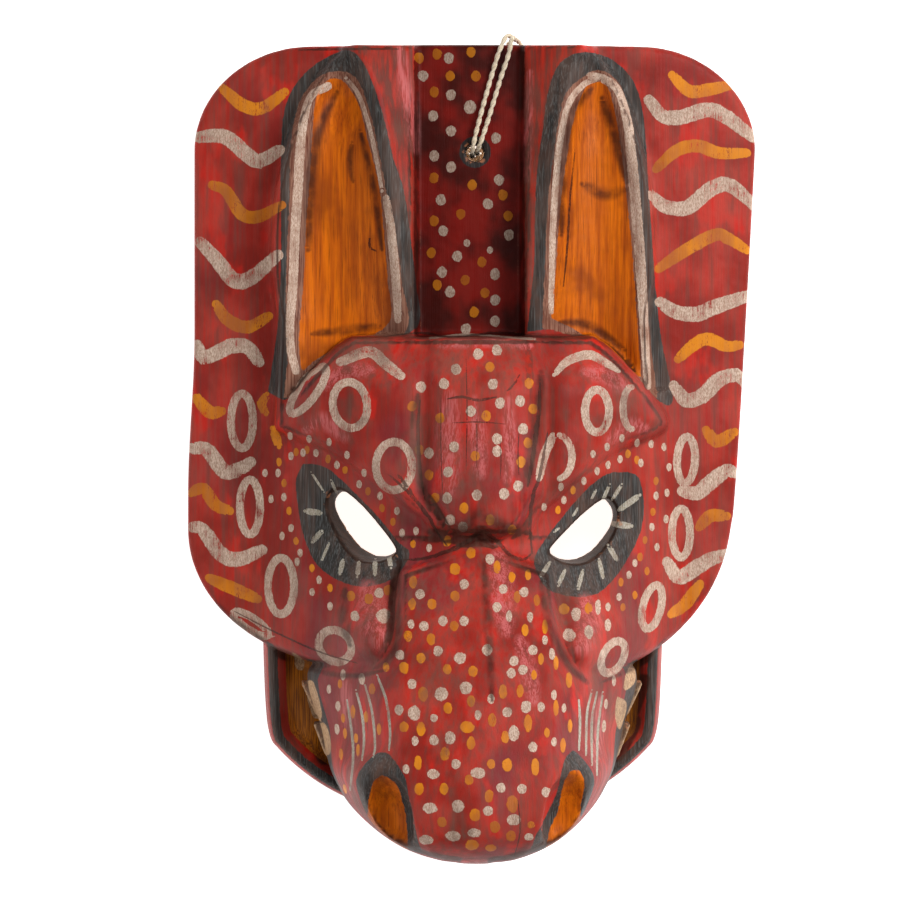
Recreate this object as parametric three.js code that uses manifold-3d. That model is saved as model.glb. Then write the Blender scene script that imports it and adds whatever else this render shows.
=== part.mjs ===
// Carved and painted wooden animal mask with long ears, lying on its back rim.
// Units are millimetres. +Y runs to the tips of the ears, +X to the right of the face and +Z out of the face.
// The origin is the middle of the mask's outline, on the plane that the back rim rests on.
import * as THREE from 'three';
import { mergeVertices } from 'three/addons/utils/BufferGeometryUtils.js';
import Module from 'manifold-3d';

const wasm = await Module();
wasm.setup();

// Overall size of the block
const maskLength = 283.6;
const maskWidth = 203;
const topY = maskLength / 2;
const tipY = -maskLength / 2;
const leftX = -maskWidth / 2;
const rightX = maskWidth / 2;

// Wood left between the front and the hollow, and the flat width of the back rim
const panelWall = 13;
const rimWidth = 10;

// Arched back panel
const panelEdgeHeight = 16;
const panelCrown = 15;
const edgeRound = 3;
const topCornerWidth = 41;
const topCornerHeight = 36;
const lowerCornerWidth = 62;
const lowerCornerHeight = 48;
const lowerCornerRight = 60;
const leftTaper = 2.3;
const rightTaper = 8.5;
const lowerEdgeLeftY = -78;
const lowerEdgeRightY = -82;

// Ears
const earFootY = 5;
const earRoundY = 45;
const earTipY = topY - 2.8;
const earTipFall = 39;
const earInnerHeight = 43;
const earOuterHeight = 35;
const earDish = 6;
const earRimWidth = 4.5;
const earTipHalf = 3;
const leftEar = { centreX: -43.5, lean: -4, half: 24, flankX: -19.4, side: -1 };
const rightEar = { centreX: 41, lean: 3, half: 21, flankX: 17.5, side: 1 };

// Brow and forehead
const browTopY = 38.5;
const browHeight = 53;
const browRise = 10;
const browLean = 6;
const browFall = 24;
const browHalf = 72;
const foreheadX = 4.5;
const foreheadHalf = 20;
const foreheadProud = 7;
const grooveDepth = 2.5;
const browEdgeDrop = 4;
const notchY = -34;

// Face below the brow
const faceHalf = 80;
const faceTopY = 20;
const faceBottomY = lowerEdgeRightY + 0.6;
const faceEdgeHeight = 15;
const socketDepth = 4;
const cheekProud = 15;

// Snout, measured from the bridge to the nose
const snoutX = 1.6;
const snoutBaseZ = 30;
const lipHeight = 37;
const lipX = 0;
const snoutRootY = -32;
const noseRoundShare = 0.335;
const noseUnderZ = 72;

// Jaw and mouth
const jawX = -3.2;
const jawLipHeight = 24;
const mouthDepth = 5;
const jawTipY = tipY + 10.8;
const jawRootY = -45;
const jawLipInset = 4;
const mouthInset = 11;
const toothY = tipY + 58.8;
const toothLength = 12;
const toothGap = 2.5;
const toothProud = 2.6;
const toothRoot = 4;
const toothHeight = 8;

// Eye holes
const eyeLength = 29.5;
const eyeBelly = 12.4;
const eyeBellyInside = 7.4;
const eyeArch = 2.2;
const eyeCornerX = 26.4;
const eyeCornerY = -36.6;
const eyeSlant = 46;

// Nostrils
const nostrilLength = 15;
const nostrilHalf = 10;
const nostrilX = 31.2;
const nostrilY = tipY + 19.8;
const nostrilSink = 9.8;
const nostrilPitch = 17;
const nostrilSlant = 19;

// Cord, its hole and its knot
const cordDiameter = 1.8;
const cordHoleDiameter = 6.6;
const cordHoleX = 1.1;
const cordHoleY = topY - 38.1;
const cordSides = 8;
const knotRadius = 4.2;
const knotFlatness = 0.8;
const fitGap = 0.35;

// Hollow behind the face
const hollowTipY = tipY + 23.8;
const faceHollowHalf = 74;
const faceHollowDepth = 48;
const snoutHollowHalf = 31;
const snoutHollowDepth = 74;
const cutterBase = -5;

// Limits of the faceting: the shortest edge and the narrowest face that are kept
const shortestEdge = 0.3;
const needleHeight = 0.06;
const rimTolerance = 0.01;
const tidyPasses = 12;

const clamp01 = (t) => Math.min(1, Math.max(0, t));
const mix = (a, b, t) => a + (b - a) * t;
const ease = (t) => {
  const c = clamp01(t);
  return c * c * (3 - 2 * c);
};
const quarterInset = (t) => 1 - Math.sqrt(1 - clamp01(t) ** 2);

// A smooth curve through a few [place, value] stations
function through(stations, place) {
  const last = stations.length - 1;
  const slope = (i) => {
    const a = stations[Math.max(0, i - 1)];
    const b = stations[Math.min(last, i + 1)];
    return (b[1] - a[1]) / (b[0] - a[0]);
  };
  const p = Math.min(stations[last][0], Math.max(stations[0][0], place));
  let i = 0;
  while (i < last - 1 && p > stations[i + 1][0]) i += 1;
  const [p0, v0] = stations[i];
  const [p1, v1] = stations[i + 1];
  const span = p1 - p0;
  const t = (p - p0) / span;
  const hermite = (2 * t ** 3 - 3 * t ** 2 + 1) * v0 + (3 * t ** 2 - 2 * t ** 3) * v1;
  return hermite + (t ** 3 - 2 * t ** 2 + t) * span * slope(i) + (t ** 3 - t ** 2) * span * slope(i + 1);
}

function steps(from, to, count) {
  return Array.from({ length: count + 1 }, (_, i) => mix(from, to, i / count));
}

function solidOf(geometry) {
  geometry.deleteAttribute('normal');
  geometry.deleteAttribute('uv');
  const merged = mergeVertices(geometry, 1e-4);
  const vertProperties = new Float32Array(merged.attributes.position.array);
  const triVerts = new Uint32Array(merged.index.array);
  return new wasm.Manifold(new wasm.Mesh({ numProp: 3, vertProperties, triVerts }));
}

// A block of wood between a carved front, given as rows of points from left to right, and a flat back. Its
// faces are split alike on both sides of the middle.
function rowBlock(rows, baseZ) {
  const columns = rows[0].length;
  const top = rows.flat();
  const positions = [...top.flatMap((p) => [p.x, p.y, p.z]), ...top.flatMap((p) => [p.x, p.y, baseZ])];
  const back = top.length;
  const indices = [];
  const quad = (a, b, c, d) => indices.push(a, b, c, a, c, d);
  for (let j = 0; j < rows.length - 1; j += 1) {
    for (let i = 0; i < columns - 1; i += 1) {
      const a = j * columns + i;
      const b = back + a;
      if (i < (columns - 1) / 2) {
        quad(a, a + 1, a + 1 + columns, a + columns);
        quad(b, b + columns, b + 1 + columns, b + 1);
      } else {
        quad(a + 1, a + 1 + columns, a + columns, a);
        quad(b + columns, b + 1 + columns, b + 1, b);
      }
    }
    const left = j * columns;
    const right = left + columns - 1;
    quad(back + left, left, left + columns, back + left + columns);
    quad(back + right, back + right + columns, right + columns, right);
  }
  const lastRow = (rows.length - 1) * columns;
  for (let i = 0; i < columns - 1; i += 1) {
    quad(back + i, back + i + 1, i + 1, i);
    quad(back + lastRow + i + 1, back + lastRow + i, lastRow + i, lastRow + i + 1);
  }
  const geometry = new THREE.BufferGeometry();
  geometry.setAttribute('position', new THREE.Float32BufferAttribute(positions, 3));
  geometry.setIndex(indices);
  return solidOf(geometry);
}

// Rows over an outline given by its left and right edge at each Y, with a height at each point
function fieldRows(ys, shares, leftAt, rightAt, heightAt) {
  return ys.map((y) => shares.map((share) => {
    const x = mix(leftAt(y), rightAt(y), share);
    return { x, y, z: heightAt(x, y) };
  }));
}

// Outline of the panel: upright sides, quarter ellipses at the corners
function panelLeft(y) {
  const side = leftX + leftTaper * ease((y + 17) / 57);
  const corner = topCornerWidth * quarterInset((y - topY + topCornerHeight) / topCornerHeight);
  const lower = quarterInset((lowerEdgeLeftY + lowerCornerHeight - y) / lowerCornerHeight);
  return side + corner + lowerCornerWidth * lower;
}

function panelRight(y) {
  const side = rightX - rightTaper * (1 - clamp01((y + 29) / 135) ** 0.85);
  const corner = topCornerWidth * quarterInset((y - topY + topCornerHeight) / topCornerHeight);
  const lower = quarterInset((lowerEdgeRightY + lowerCornerRight - y) / lowerCornerRight);
  return side - corner - lowerCornerWidth * lower;
}

const panelHeight = (x) => panelEdgeHeight + panelCrown * (1 - (x / rightX) ** 2);

function panelSolid() {
  const lower = [0.6, 1, 3, 8, 16, 28, 42].map((rise) => lowerEdgeLeftY + rise);
  const upper = [1, 0.67, 0.39, 0.22, 0.11, 0.033, 0].map((share) => topY - topCornerHeight * share);
  const ys = [...lower, ...steps(-20, 70, 3), ...upper];
  const shares = [0, 0.015, 0.1, 0.2, 0.3, 0.4, 0.5, 0.6, 0.7, 0.8, 0.9, 0.985, 1];
  const rows = fieldRows(ys, shares, panelLeft, panelRight, panelHeight);
  for (const row of rows) {
    row[0].z -= edgeRound;
    row[row.length - 1].z -= edgeRound;
  }
  return rowBlock(rows, 0);
}

// One ear: a dished face inside a raised rim, with a flank that falls to the channel between the ears
function earHalfAt(ear, y) {
  const t = clamp01((y - earRoundY) / (earTipY - earRoundY));
  return Math.max(earTipHalf, ear.half * Math.sqrt(1 - t * t));
}

function earCentreAt(ear, y) {
  const t = clamp01((y - earRoundY) / (earTipY - earRoundY));
  const bend = ear.lean * Math.sin(Math.PI * t ** 0.8);
  return ear.centreX + bend + 2 * ear.side * clamp01((earRoundY - y) / 40);
}

function earHeightAt(ear, y, across) {
  const fall = 4 * ease((y - earTipY + earTipFall) / earTipFall);
  return mix(earInnerHeight, earOuterHeight, across * 0.5 + 0.5) - fall;
}

function earSolid(ear) {
  const shares = [0, 0.14, 0.29, 0.44, 0.56, 0.67, 0.77, 0.84, 0.9, 0.95, 0.984, 1];
  const ys = [earFootY, 22, 34, ...shares.map((share) => mix(earRoundY, earTipY, share)), topY];
  const rows = ys.map((y) => {
    const half = earHalfAt(ear, y);
    const centre = earCentreAt(ear, y);
    const rim = Math.min(earRimWidth, half * 0.4);
    const inner = half - rim;
    const dish = earDish * clamp01((inner - 1) / 8);
    const right = [[inner * 0.3, dish], [inner * 0.72, dish * 0.72], [inner, 0], [half - 1, 0], [half, 1.2]];
    const left = right.map(([a, drop]) => [-a, drop]).reverse();
    const points = [...left, ...right].map(([a, drop]) => (
      { x: centre + ear.side * a, y, z: earHeightAt(ear, y, a / half) - drop }));
    const flankTop = mix(earHeightAt(ear, y, -1), panelHeight(0) + 3, ease((y - earRoundY - 15) / 70));
    const flank = { x: ear.flankX + ear.side * 0.8, y, z: flankTop };
    const foot = { x: ear.flankX, y, z: panelHeight(0) - 1 };
    const outer = { x: centre + ear.side * (half + 1.4), y, z: panelHeight(60) - 3 };
    const row = [foot, flank, ...points, outer];
    return ear.side > 0 ? row : row.reverse();
  });
  return rowBlock(rows, panelHeight(rightX) - 2);
}

// Brow: a heavy sheet that overhangs the eyes and runs down to a V at the bridge of the nose
function browHalfAt(y) {
  const lower = [[notchY, 8], [-29, 20], [-19, 29.5], [-11, 38], [-2.5, 50], [4, 66], [9, 69.5]];
  return through([...lower, [22.4, 59.3], [31.7, 51], [35, 47.5], [browTopY, 42]], y);
}

const foreheadHalfAt = (y) => Math.min(foreheadHalf, (browHalfAt(y) - foreheadX - 1) / 1.35);

function browHeightAt(x, y) {
  const sheet = browHeight + browRise * ease((browTopY - y) / 21) + browLean * ease((10 - y) / 40);
  const across = (x - foreheadX) / foreheadHalfAt(y);
  const strip = foreheadProud * mix(0.5, 1, ease((20 - y) / 30)) * clamp01(1 - across * across) ** 0.6;
  const groove = grooveDepth * Math.exp(-(((Math.abs(across) - 1.06) / 0.16) ** 2)) * ease((30 - y) / 12);
  return sheet - browFall * (x / browHalf) ** 2 + strip - groove - 6 * ease((notchY + 8 - y) / 8);
}

function browSolid() {
  const ys = [notchY, -31, -27, -22, -17, -11, -5, 0, 4, 9, 15, 21, 27, 32, 35.5, browTopY - 1.2, browTopY];
  const stripShares = [-1.3, -1.06, -0.86, -0.6, -0.3, 0, 0.3, 0.6, 0.86, 1.06, 1.3];
  const lobeShares = [0.03, 0.16, 0.36, 0.56, 0.78];
  const rows = ys.map((y) => {
    const half = browHalfAt(y);
    const strip = stripShares.map((share) => foreheadX + share * foreheadHalfAt(y));
    const left = lobeShares.map((share) => mix(-half, strip[0], share));
    const right = lobeShares.map((share) => mix(half, strip[strip.length - 1], share)).reverse();
    const xs = [-half, ...left, ...strip, ...right, half];
    const edge = (x) => (Math.abs(x) >= half ? browEdgeDrop : 0);
    const ledge = y >= browTopY ? browEdgeDrop / 2 : 0;
    return xs.map((x) => ({ x, y, z: browHeightAt(x, y) - edge(x) - ledge }));
  });
  return rowBlock(rows, panelHeight(rightX) - 4);
}

// Face: a dome from the panel up to the snout, dipped at the eyes and raised at the cheeks
function bump(x, y, centreX, centreY, radiusX, radiusY) {
  return Math.exp(-(((x - centreX) / radiusX) ** 2) - ((y - centreY) / radiusY) ** 2);
}

function faceHeightAt(x, y) {
  const rise = through([[-84, 57], [-60, 55], [-30, 49], [0, 45], [30, 36]], y);
  const dome = faceEdgeHeight + rise * clamp01(1 - (x / faceHalf) ** 2) ** 0.95;
  const socket = socketDepth * (bump(x, y, -40, -25, 14, 14) + bump(x, y, 40, -25, 14, 14));
  const cheeks = cheekProud * (bump(x, y, -34, -66, 10, 13) + bump(x, y, 37, -70, 10, 13));
  return dome - socket + cheeks;
}

function faceSolid() {
  const ys = steps(0, 1, 20).map((t) => mix(faceBottomY, faceTopY, t ** 1.4));
  const side = [0, 0.03, 0.07, 0.11, 0.15, 0.19, ...steps(0.21, 0.37, 10), 0.43];
  const shares = [...side, 0.5, ...side.map((share) => 1 - share).reverse()];
  const left = (y) => Math.max(-faceHalf, panelLeft(Math.max(y, lowerEdgeLeftY + 0.6)));
  const right = (y) => Math.min(faceHalf, panelRight(y));
  return rowBlock(fieldRows(ys, shares, left, right, faceHeightAt), panelHeight(rightX) - 4);
}

// Snout: a long ridged plate on sloping walls that spread to the upper lip. Places along it are shares of its
// length, from the tip of the nose to the bridge.
const snoutShare = (y) => (y - tipY) / (snoutRootY - tipY);

const noseOutline = (y) => Math.sqrt(Math.max(0, 1 - clamp01(1 - snoutShare(y) / noseRoundShare) ** 2.6));

function plateHalfAt(y) {
  const root = 25 * clamp01((snoutRootY - y) / 10.5) ** 1.6;
  const nose = [[0, 5], [0.016, 11], [0.053, 15.5], [0.107, 18.5], [0.199, 21.5], [0.308, 25.5]];
  const plate = through([...nose, [0.508, 26.7], [0.745, 25.5], [0.909, 25]], snoutShare(y));
  return Math.max(0.6, Math.min(root, plate));
}

function ridgeHeightAt(y) {
  const nose = [[0, 78], [0.016, 88], [0.053, 98], [0.107, 104.5], [0.199, 106.5], [0.335, 103]];
  return through([...nose, [0.563, 94], [0.745, 84], [0.909, 73], [1, 67]], snoutShare(y));
}

function lipHalfAt(y) {
  const lip = [[0.199, 49.5], [0.381, 53], [0.563, 58], [0.645, 50], [0.745, 38], [0.909, 28]];
  return Math.max(6, through(lip, snoutShare(y)) * noseOutline(y));
}

function snoutSolid() {
  const nose = [0, 0.007, 0.021, 0.039, 0.066, 0.098, 0.135, 0.18, 0.235, 0.3, 0.372, 0.454];
  const shares = [...nose, 0.545, 0.645, 0.745, 0.836, 0.891, 0.909, 0.932, 0.959, 1];
  const rows = shares.map((share) => {
    const y = mix(tipY, snoutRootY, share);
    const plate = plateHalfAt(y);
    const lip = lipHalfAt(y);
    const ridge = ridgeHeightAt(y);
    const edge = ridge - 5 * clamp01(plate / 26);
    const bevel = ease((0.4 - share) / 0.15);
    const wall = [[1, lipHeight - 3], [0.985, lipHeight],
      [mix(0.84, 0.91, bevel), mix(lipHeight, edge, 0.18)],
      [mix(0.56, 0.78, bevel), mix(lipHeight, edge, 0.48)],
      [mix(0.26, 0.56, bevel), mix(lipHeight, edge, mix(0.82, 0.79, bevel))]];
    const side = (s) => wall.map(([out, z]) => (
      { x: mix(snoutX, lipX, out) + s * mix(plate, lip, out), y, z: Math.min(z, edge) }));
    const slope = mix(edge, ridge, 0.6);
    const top = [[-1, edge], [-0.5, slope], [0, ridge], [0.5, slope], [1, edge]];
    const plateRow = top.map(([out, z]) => ({ x: snoutX + out * plate, y, z }));
    return [...side(-1), ...plateRow, ...side(1).reverse()];
  });
  return rowBlock(rows, snoutBaseZ);
}

// The wood of the mouth between the upper lip and the jaw
function mouthSolid() {
  const shares = [0, 0.025, 0.08, 0.18, 0.32, 0.52, 0.72, 1];
  const rows = shares.map((share) => {
    const y = mix(tipY + mouthInset, -60, share);
    const half = lipHalfAt(y - mouthInset * 0.8) - mouthInset;
    return [-1, 0, 1].map((s) => ({ x: lipX + s * Math.max(2, half), y, z: snoutBaseZ + 8 }));
  });
  return rowBlock(rows, 4);
}

// Jaw: a low flap behind the snout, with a lip round the open mouth
function jawHalfAt(y) {
  const straight = through([[-108, 69], [-90, 70.5], [-60, 71.5], [-40, 72]], y);
  const fromTip = y - jawTipY;
  return straight - 35 * quarterInset(1 - fromTip / 33) - 14 * clamp01(1 - fromTip / 25);
}

function jawSolid() {
  const shares = [0, 0.012, 0.047, 0.105, 0.174, 0.256, 0.337, 0.43, 0.547, 0.686, 0.826, 1];
  const rows = shares.map((share) => {
    const y = mix(jawTipY, jawRootY, share);
    const half = jawHalfAt(y);
    const nearTip = clamp01((y - jawTipY) / 8);
    const floor = jawLipHeight - mouthDepth * nearTip;
    const inner = half - jawLipInset;
    const profile = [[half, 7], [half - jawLipInset * 0.4, jawLipHeight * 0.75], [inner, jawLipHeight],
      [inner - 3, jawLipHeight - 1.5 * nearTip], [inner * 0.78, floor], [inner * 0.5, floor]];
    const sidePoints = (s) => profile.map(([h, z]) => ({ x: jawX + s * h, y, z }));
    return [...sidePoints(-1), ...sidePoints(1).reverse()];
  });
  return rowBlock(rows, 0);
}

// Two teeth a side, hanging from the upper lip and narrower at their lower end
function teethSolids() {
  return [-1, 1].flatMap((s) => [0, 1].map((k) => {
    const upper = toothY - k * (toothLength + toothGap);
    const lower = upper - toothLength;
    const outline = [[lipHalfAt(upper) - toothRoot, upper], [lipHalfAt(lower) - toothRoot, lower],
      [lipHalfAt(lower) + toothProud / 5, lower], [lipHalfAt(upper) + toothProud, upper]];
    const shape = new THREE.Shape(outline.map(([x, y]) => new THREE.Vector2(lipX + s * x, y)));
    const tooth = new THREE.ExtrudeGeometry(shape, { depth: toothHeight, bevelEnabled: false });
    tooth.translate(0, 0, snoutBaseZ + 2 - toothHeight);
    return solidOf(tooth);
  }));
}

// Half of an eye outline runs along the arched upper lid, the other along the rounded lower one
function eyeOutline(belly, arch, grow, z, side) {
  const slant = THREE.MathUtils.degToRad(eyeSlant);
  const along = new THREE.Vector2(-Math.cos(slant), Math.sin(slant));
  const down = new THREE.Vector2(-Math.sin(slant), -Math.cos(slant));
  const points = [];
  const count = 20;
  for (let i = 0; i < count; i += 1) {
    const angle = (i / count) * 2 * Math.PI;
    const half = eyeLength / 2 + grow;
    const a = half - half * Math.cos(angle) - grow;
    const blunt = Math.cos(angle) < 0 ? 0.62 : 1;
    const lower = (belly + grow) * Math.sin(angle) ** blunt;
    const b = angle <= Math.PI ? lower : (arch + grow) * Math.sin(angle);
    const x = -eyeCornerX + along.x * a + down.x * b;
    const y = eyeCornerY + along.y * a + down.y * b;
    points.push(new THREE.Vector3(-side * x, y, z));
  }
  return side > 0 ? points : points.reverse();
}

// A closed body through a stack of outlines with equal point counts
function stackSolid(outlines) {
  const count = outlines[0].length;
  const positions = outlines.flat().flatMap((p) => [p.x, p.y, p.z]);
  const indices = [];
  for (let k = 0; k < outlines.length - 1; k += 1) {
    for (let i = 0; i < count; i += 1) {
      const a = k * count + i;
      const b = k * count + ((i + 1) % count);
      indices.push(a, b, b + count, a, b + count, a + count);
    }
  }
  const cap = (outline, first, up) => {
    const flat = outline.map((p) => new THREE.Vector2(p.x, p.y));
    for (const [a, b, c] of THREE.ShapeUtils.triangulateShape(flat, [])) {
      indices.push(first + a, first + (up ? b : c), first + (up ? c : b));
    }
  };
  cap(outlines[0], 0, false);
  cap(outlines[outlines.length - 1], (outlines.length - 1) * count, true);
  const geometry = new THREE.BufferGeometry();
  geometry.setAttribute('position', new THREE.Float32BufferAttribute(positions, 3));
  geometry.setIndex(indices);
  return solidOf(geometry);
}

function eyeCutter(side) {
  return stackSolid([
    eyeOutline(eyeBellyInside - 2, eyeArch + 2, 0, 14, side),
    eyeOutline(eyeBellyInside, eyeArch + 1, 0, 36, side),
    eyeOutline(eyeBelly, eyeArch, 0, 52, side),
    eyeOutline(eyeBelly + 1, eyeArch, 0.5, 80, side),
  ]);
}

function nostrilCutter(side) {
  const scoop = new THREE.SphereGeometry(1, 16, 10);
  scoop.scale(nostrilHalf, nostrilLength, nostrilHalf);
  scoop.rotateX(THREE.MathUtils.degToRad(nostrilPitch));
  scoop.rotateZ(THREE.MathUtils.degToRad(side * -nostrilSlant));
  scoop.translate(snoutX + side * nostrilX, nostrilY, ridgeHeightAt(nostrilY) - nostrilSink);
  return solidOf(scoop);
}

// The nose is cut back underneath, down to the mouth
function noseUndercut() {
  const depth = 60;
  const slope = Math.atan2(14, noseUnderZ - snoutBaseZ);
  const wedge = new THREE.BoxGeometry(maskWidth, depth, depth * 2);
  wedge.translate(0, -depth / 2, 0);
  wedge.rotateX(slope);
  wedge.translate(0, tipY, noseUnderZ);
  const limit = new THREE.BoxGeometry(maskWidth, depth, noseUnderZ - snoutBaseZ + 2);
  limit.translate(0, tipY, (noseUnderZ + snoutBaseZ) / 2 - 1);
  return solidOf(wedge).intersect(solidOf(limit));
}

// The hollow: an arch under the panel, a bowl behind the face and a narrower well up into the snout
function hollowHalfAt(y) {
  const lower = [[0, 26], [8, 36], [22, 41], [36, 45], [50, 54], [64, 68], [78, 78]];
  const inner = rightX - rimWidth;
  const upper = [[-20, inner - rightTaper], [20, inner - 5], [100, inner - 1.5]];
  return through([...lower.map(([rise, half]) => [hollowTipY + rise, half]), ...upper], y);
}

const wellHalfAt = (y) => Math.min(snoutHollowHalf, hollowHalfAt(y) * 0.85);

function hollowHeightAt(x, y) {
  const fromTip = y - hollowTipY;
  const inFromRim = hollowHalfAt(y) - Math.abs(x);
  const arch = (panelHeight(x) - panelWall) * ease(inFromRim / 12) * ease((fromTip + 2) / 16);
  const bowlHalf = Math.min(faceHollowHalf, hollowHalfAt(y));
  const bowlRound = clamp01(1 - (x / bowlHalf) ** 2) ** 0.7;
  const bowl = faceHollowDepth * bowlRound * ease((fromTip + 4) / 34) * ease((40 - y) / 42);
  const wellRound = clamp01(1 - (x / wellHalfAt(y)) ** 2) ** 0.5;
  const well = snoutHollowDepth * wellRound * ease((fromTip + 6) / 30) * ease((-30 - y) / 30);
  return Math.max(arch, bowl, well);
}

function hollowSolid() {
  const wellTopY = -34;
  const shares = [0, 0.036, 0.095, 0.167, 0.25, 0.333, 0.43, 0.524, 0.62, 0.714, 0.81, 0.905];
  const lower = shares.map((share) => mix(hollowTipY, wellTopY, share));
  const ys = [...lower, wellTopY, -26, -17, -8, 2, 12, 22, 32, 42, 60, 90, topY - 22, topY + 10];
  const outerShares = [0, 0.04, 0.1, 0.18, 0.28, 0.42, 0.58, 0.78, 1];
  const wellShares = [0.94, 0.88, 0.82, 0.74, 0.6, 0.4, 0.2];
  const rows = ys.map((y) => {
    const half = hollowHalfAt(y);
    const well = wellHalfAt(y);
    const outer = outerShares.map((share) => mix(half, well, share));
    const side = [...outer, ...wellShares.map((share) => share * well)];
    const xs = [...side.map((x) => -x), 0, ...side.reverse()];
    return xs.map((x) => ({ x, y, z: hollowHeightAt(x, y) }));
  });
  return rowBlock(rows, cutterBase);
}

function cordHoleCutter() {
  const drill = new THREE.CylinderGeometry(cordHoleDiameter / 2, cordHoleDiameter / 2, maskWidth, 16);
  drill.rotateX(Math.PI / 2);
  drill.translate(cordHoleX, cordHoleY, 0);
  return solidOf(drill);
}

function maskSolid() {
  const carved = [panelSolid(), earSolid(leftEar), earSolid(rightEar), browSolid(), faceSolid(), snoutSolid(),
    mouthSolid(), jawSolid(), ...teethSolids()].reduce((all, solid) => all.add(solid));
  const pairs = [-1, 1].flatMap((side) => [eyeCutter(side), nostrilCutter(side)]);
  const cuts = [hollowSolid(), ...pairs, noseUndercut(), cordHoleCutter()];
  return cuts.reduce((all, cut) => all.subtract(cut), carved);
}

// Cuts and joins leave short edges and needle faces where two surfaces nearly meet. The short edges are
// closed up and the needles turned, so that every face is a sound one.
function faceNormal(points, face) {
  const [a, b, c] = face.map((v) => points[v]);
  return new THREE.Vector3().subVectors(b, a).cross(new THREE.Vector3().subVectors(c, a));
}

function faceAltitude(points, face) {
  const sides = [0, 1, 2].map((k) => points[face[k]].distanceTo(points[face[(k + 1) % 3]]));
  return faceNormal(points, face).length() / Math.max(...sides);
}

function facesRound(faces, count) {
  const round = Array.from({ length: count }, () => []);
  faces.forEach((face, f) => face.forEach((v) => round[v].push(f)));
  return round;
}

function closeShortEdges(points, faces) {
  const round = facesRound(faces, points.length);
  const neighbours = (v) => new Set(round[v].flatMap((f) => faces[f]).filter((w) => w !== v));
  const edges = [];
  for (const face of faces) {
    for (let k = 0; k < 3; k += 1) {
      const [a, b] = [face[k], face[(k + 1) % 3]];
      const length = points[a].distanceTo(points[b]);
      if (a < b && length < shortestEdge) edges.push([length, a, b]);
    }
  }
  edges.sort((p, q) => p[0] - q[0]);
  const touched = new Set();
  let closed = 0;
  for (const [, a, b] of edges) {
    const nearA = neighbours(a);
    const nearB = neighbours(b);
    const shared = [...nearA].filter((v) => nearB.has(v));
    const all = [...nearA, ...nearB];
    if (shared.length !== 2 || all.some((v) => touched.has(v))) continue;
    const onRim = Math.min(points[a].z, points[b].z) < rimTolerance;
    const meeting = points[a].clone().lerp(points[b], 0.5);
    if (onRim) meeting.copy(points[a].z < points[b].z ? points[a] : points[b]);
    const kept = [...round[a], ...round[b]].filter((f) => !(faces[f].includes(a) && faces[f].includes(b)));
    const sound = kept.every((f) => {
      const before = faceNormal(points, faces[f]);
      const moved = faces[f].map((v) => (v === a || v === b ? meeting : points[v]));
      const after = faceNormal(moved, [0, 1, 2]);
      return after.dot(before) > 0.2 * after.length() * before.length() || before.length() < needleHeight;
    });
    if (!sound) continue;
    points[a].copy(meeting);
    for (const f of round[b]) faces[f] = faces[f].map((v) => (v === b ? a : v));
    all.forEach((v) => touched.add(v));
    closed += 1;
  }
  const left = faces.filter(([a, b, c]) => a !== b && b !== c && a !== c);
  faces.splice(0, faces.length, ...left);
  return closed;
}

function turnNeedles(points, faces) {
  const round = facesRound(faces, points.length);
  const touched = new Set();
  let turned = 0;
  faces.forEach((face, f) => {
    const altitude = faceAltitude(points, face);
    if (altitude > needleHeight || touched.has(f)) return;
    const lengths = [0, 1, 2].map((k) => points[face[k]].distanceTo(points[face[(k + 1) % 3]]));
    const k = lengths.indexOf(Math.max(...lengths));
    const [a, b, c] = [face[k], face[(k + 1) % 3], face[(k + 2) % 3]];
    const g = round[a].find((other) => other !== f && faces[other].includes(b) && faces[other].includes(a));
    if (g === undefined || touched.has(g)) return;
    const d = faces[g].find((v) => v !== a && v !== b);
    if (c === d || round[c].some((other) => faces[other].includes(d))) return;
    const first = [a, d, c];
    const second = [d, b, c];
    const worst = Math.min(faceAltitude(points, first), faceAltitude(points, second));
    const normal = faceNormal(points, faces[g]);
    const flipped = faceNormal(points, first).dot(normal) < 0 || faceNormal(points, second).dot(normal) < 0;
    if (worst <= altitude || flipped) return;
    [...round[a], ...round[b], ...round[c], ...round[d]].forEach((other) => touched.add(other));
    faces[f] = first;
    faces[g] = second;
    turned += 1;
  });
  return turned;
}

function geometryOf(solid) {
  const { vertProperties, triVerts, numProp } = solid.getMesh();
  const points = [];
  for (let i = 0; i < vertProperties.length; i += numProp) {
    points.push(new THREE.Vector3(vertProperties[i], vertProperties[i + 1], vertProperties[i + 2]));
  }
  const faces = [];
  for (let i = 0; i < triVerts.length; i += 3) faces.push([triVerts[i], triVerts[i + 1], triVerts[i + 2]]);
  for (let pass = 0; pass < tidyPasses; pass += 1) {
    if (closeShortEdges(points, faces) + turnNeedles(points, faces) === 0) break;
  }
  const geometry = new THREE.BufferGeometry();
  geometry.setAttribute('position', new THREE.Float32BufferAttribute(points.flatMap((p) => p.toArray()), 3));
  geometry.setIndex(faces.flat());
  return geometry;
}

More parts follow.
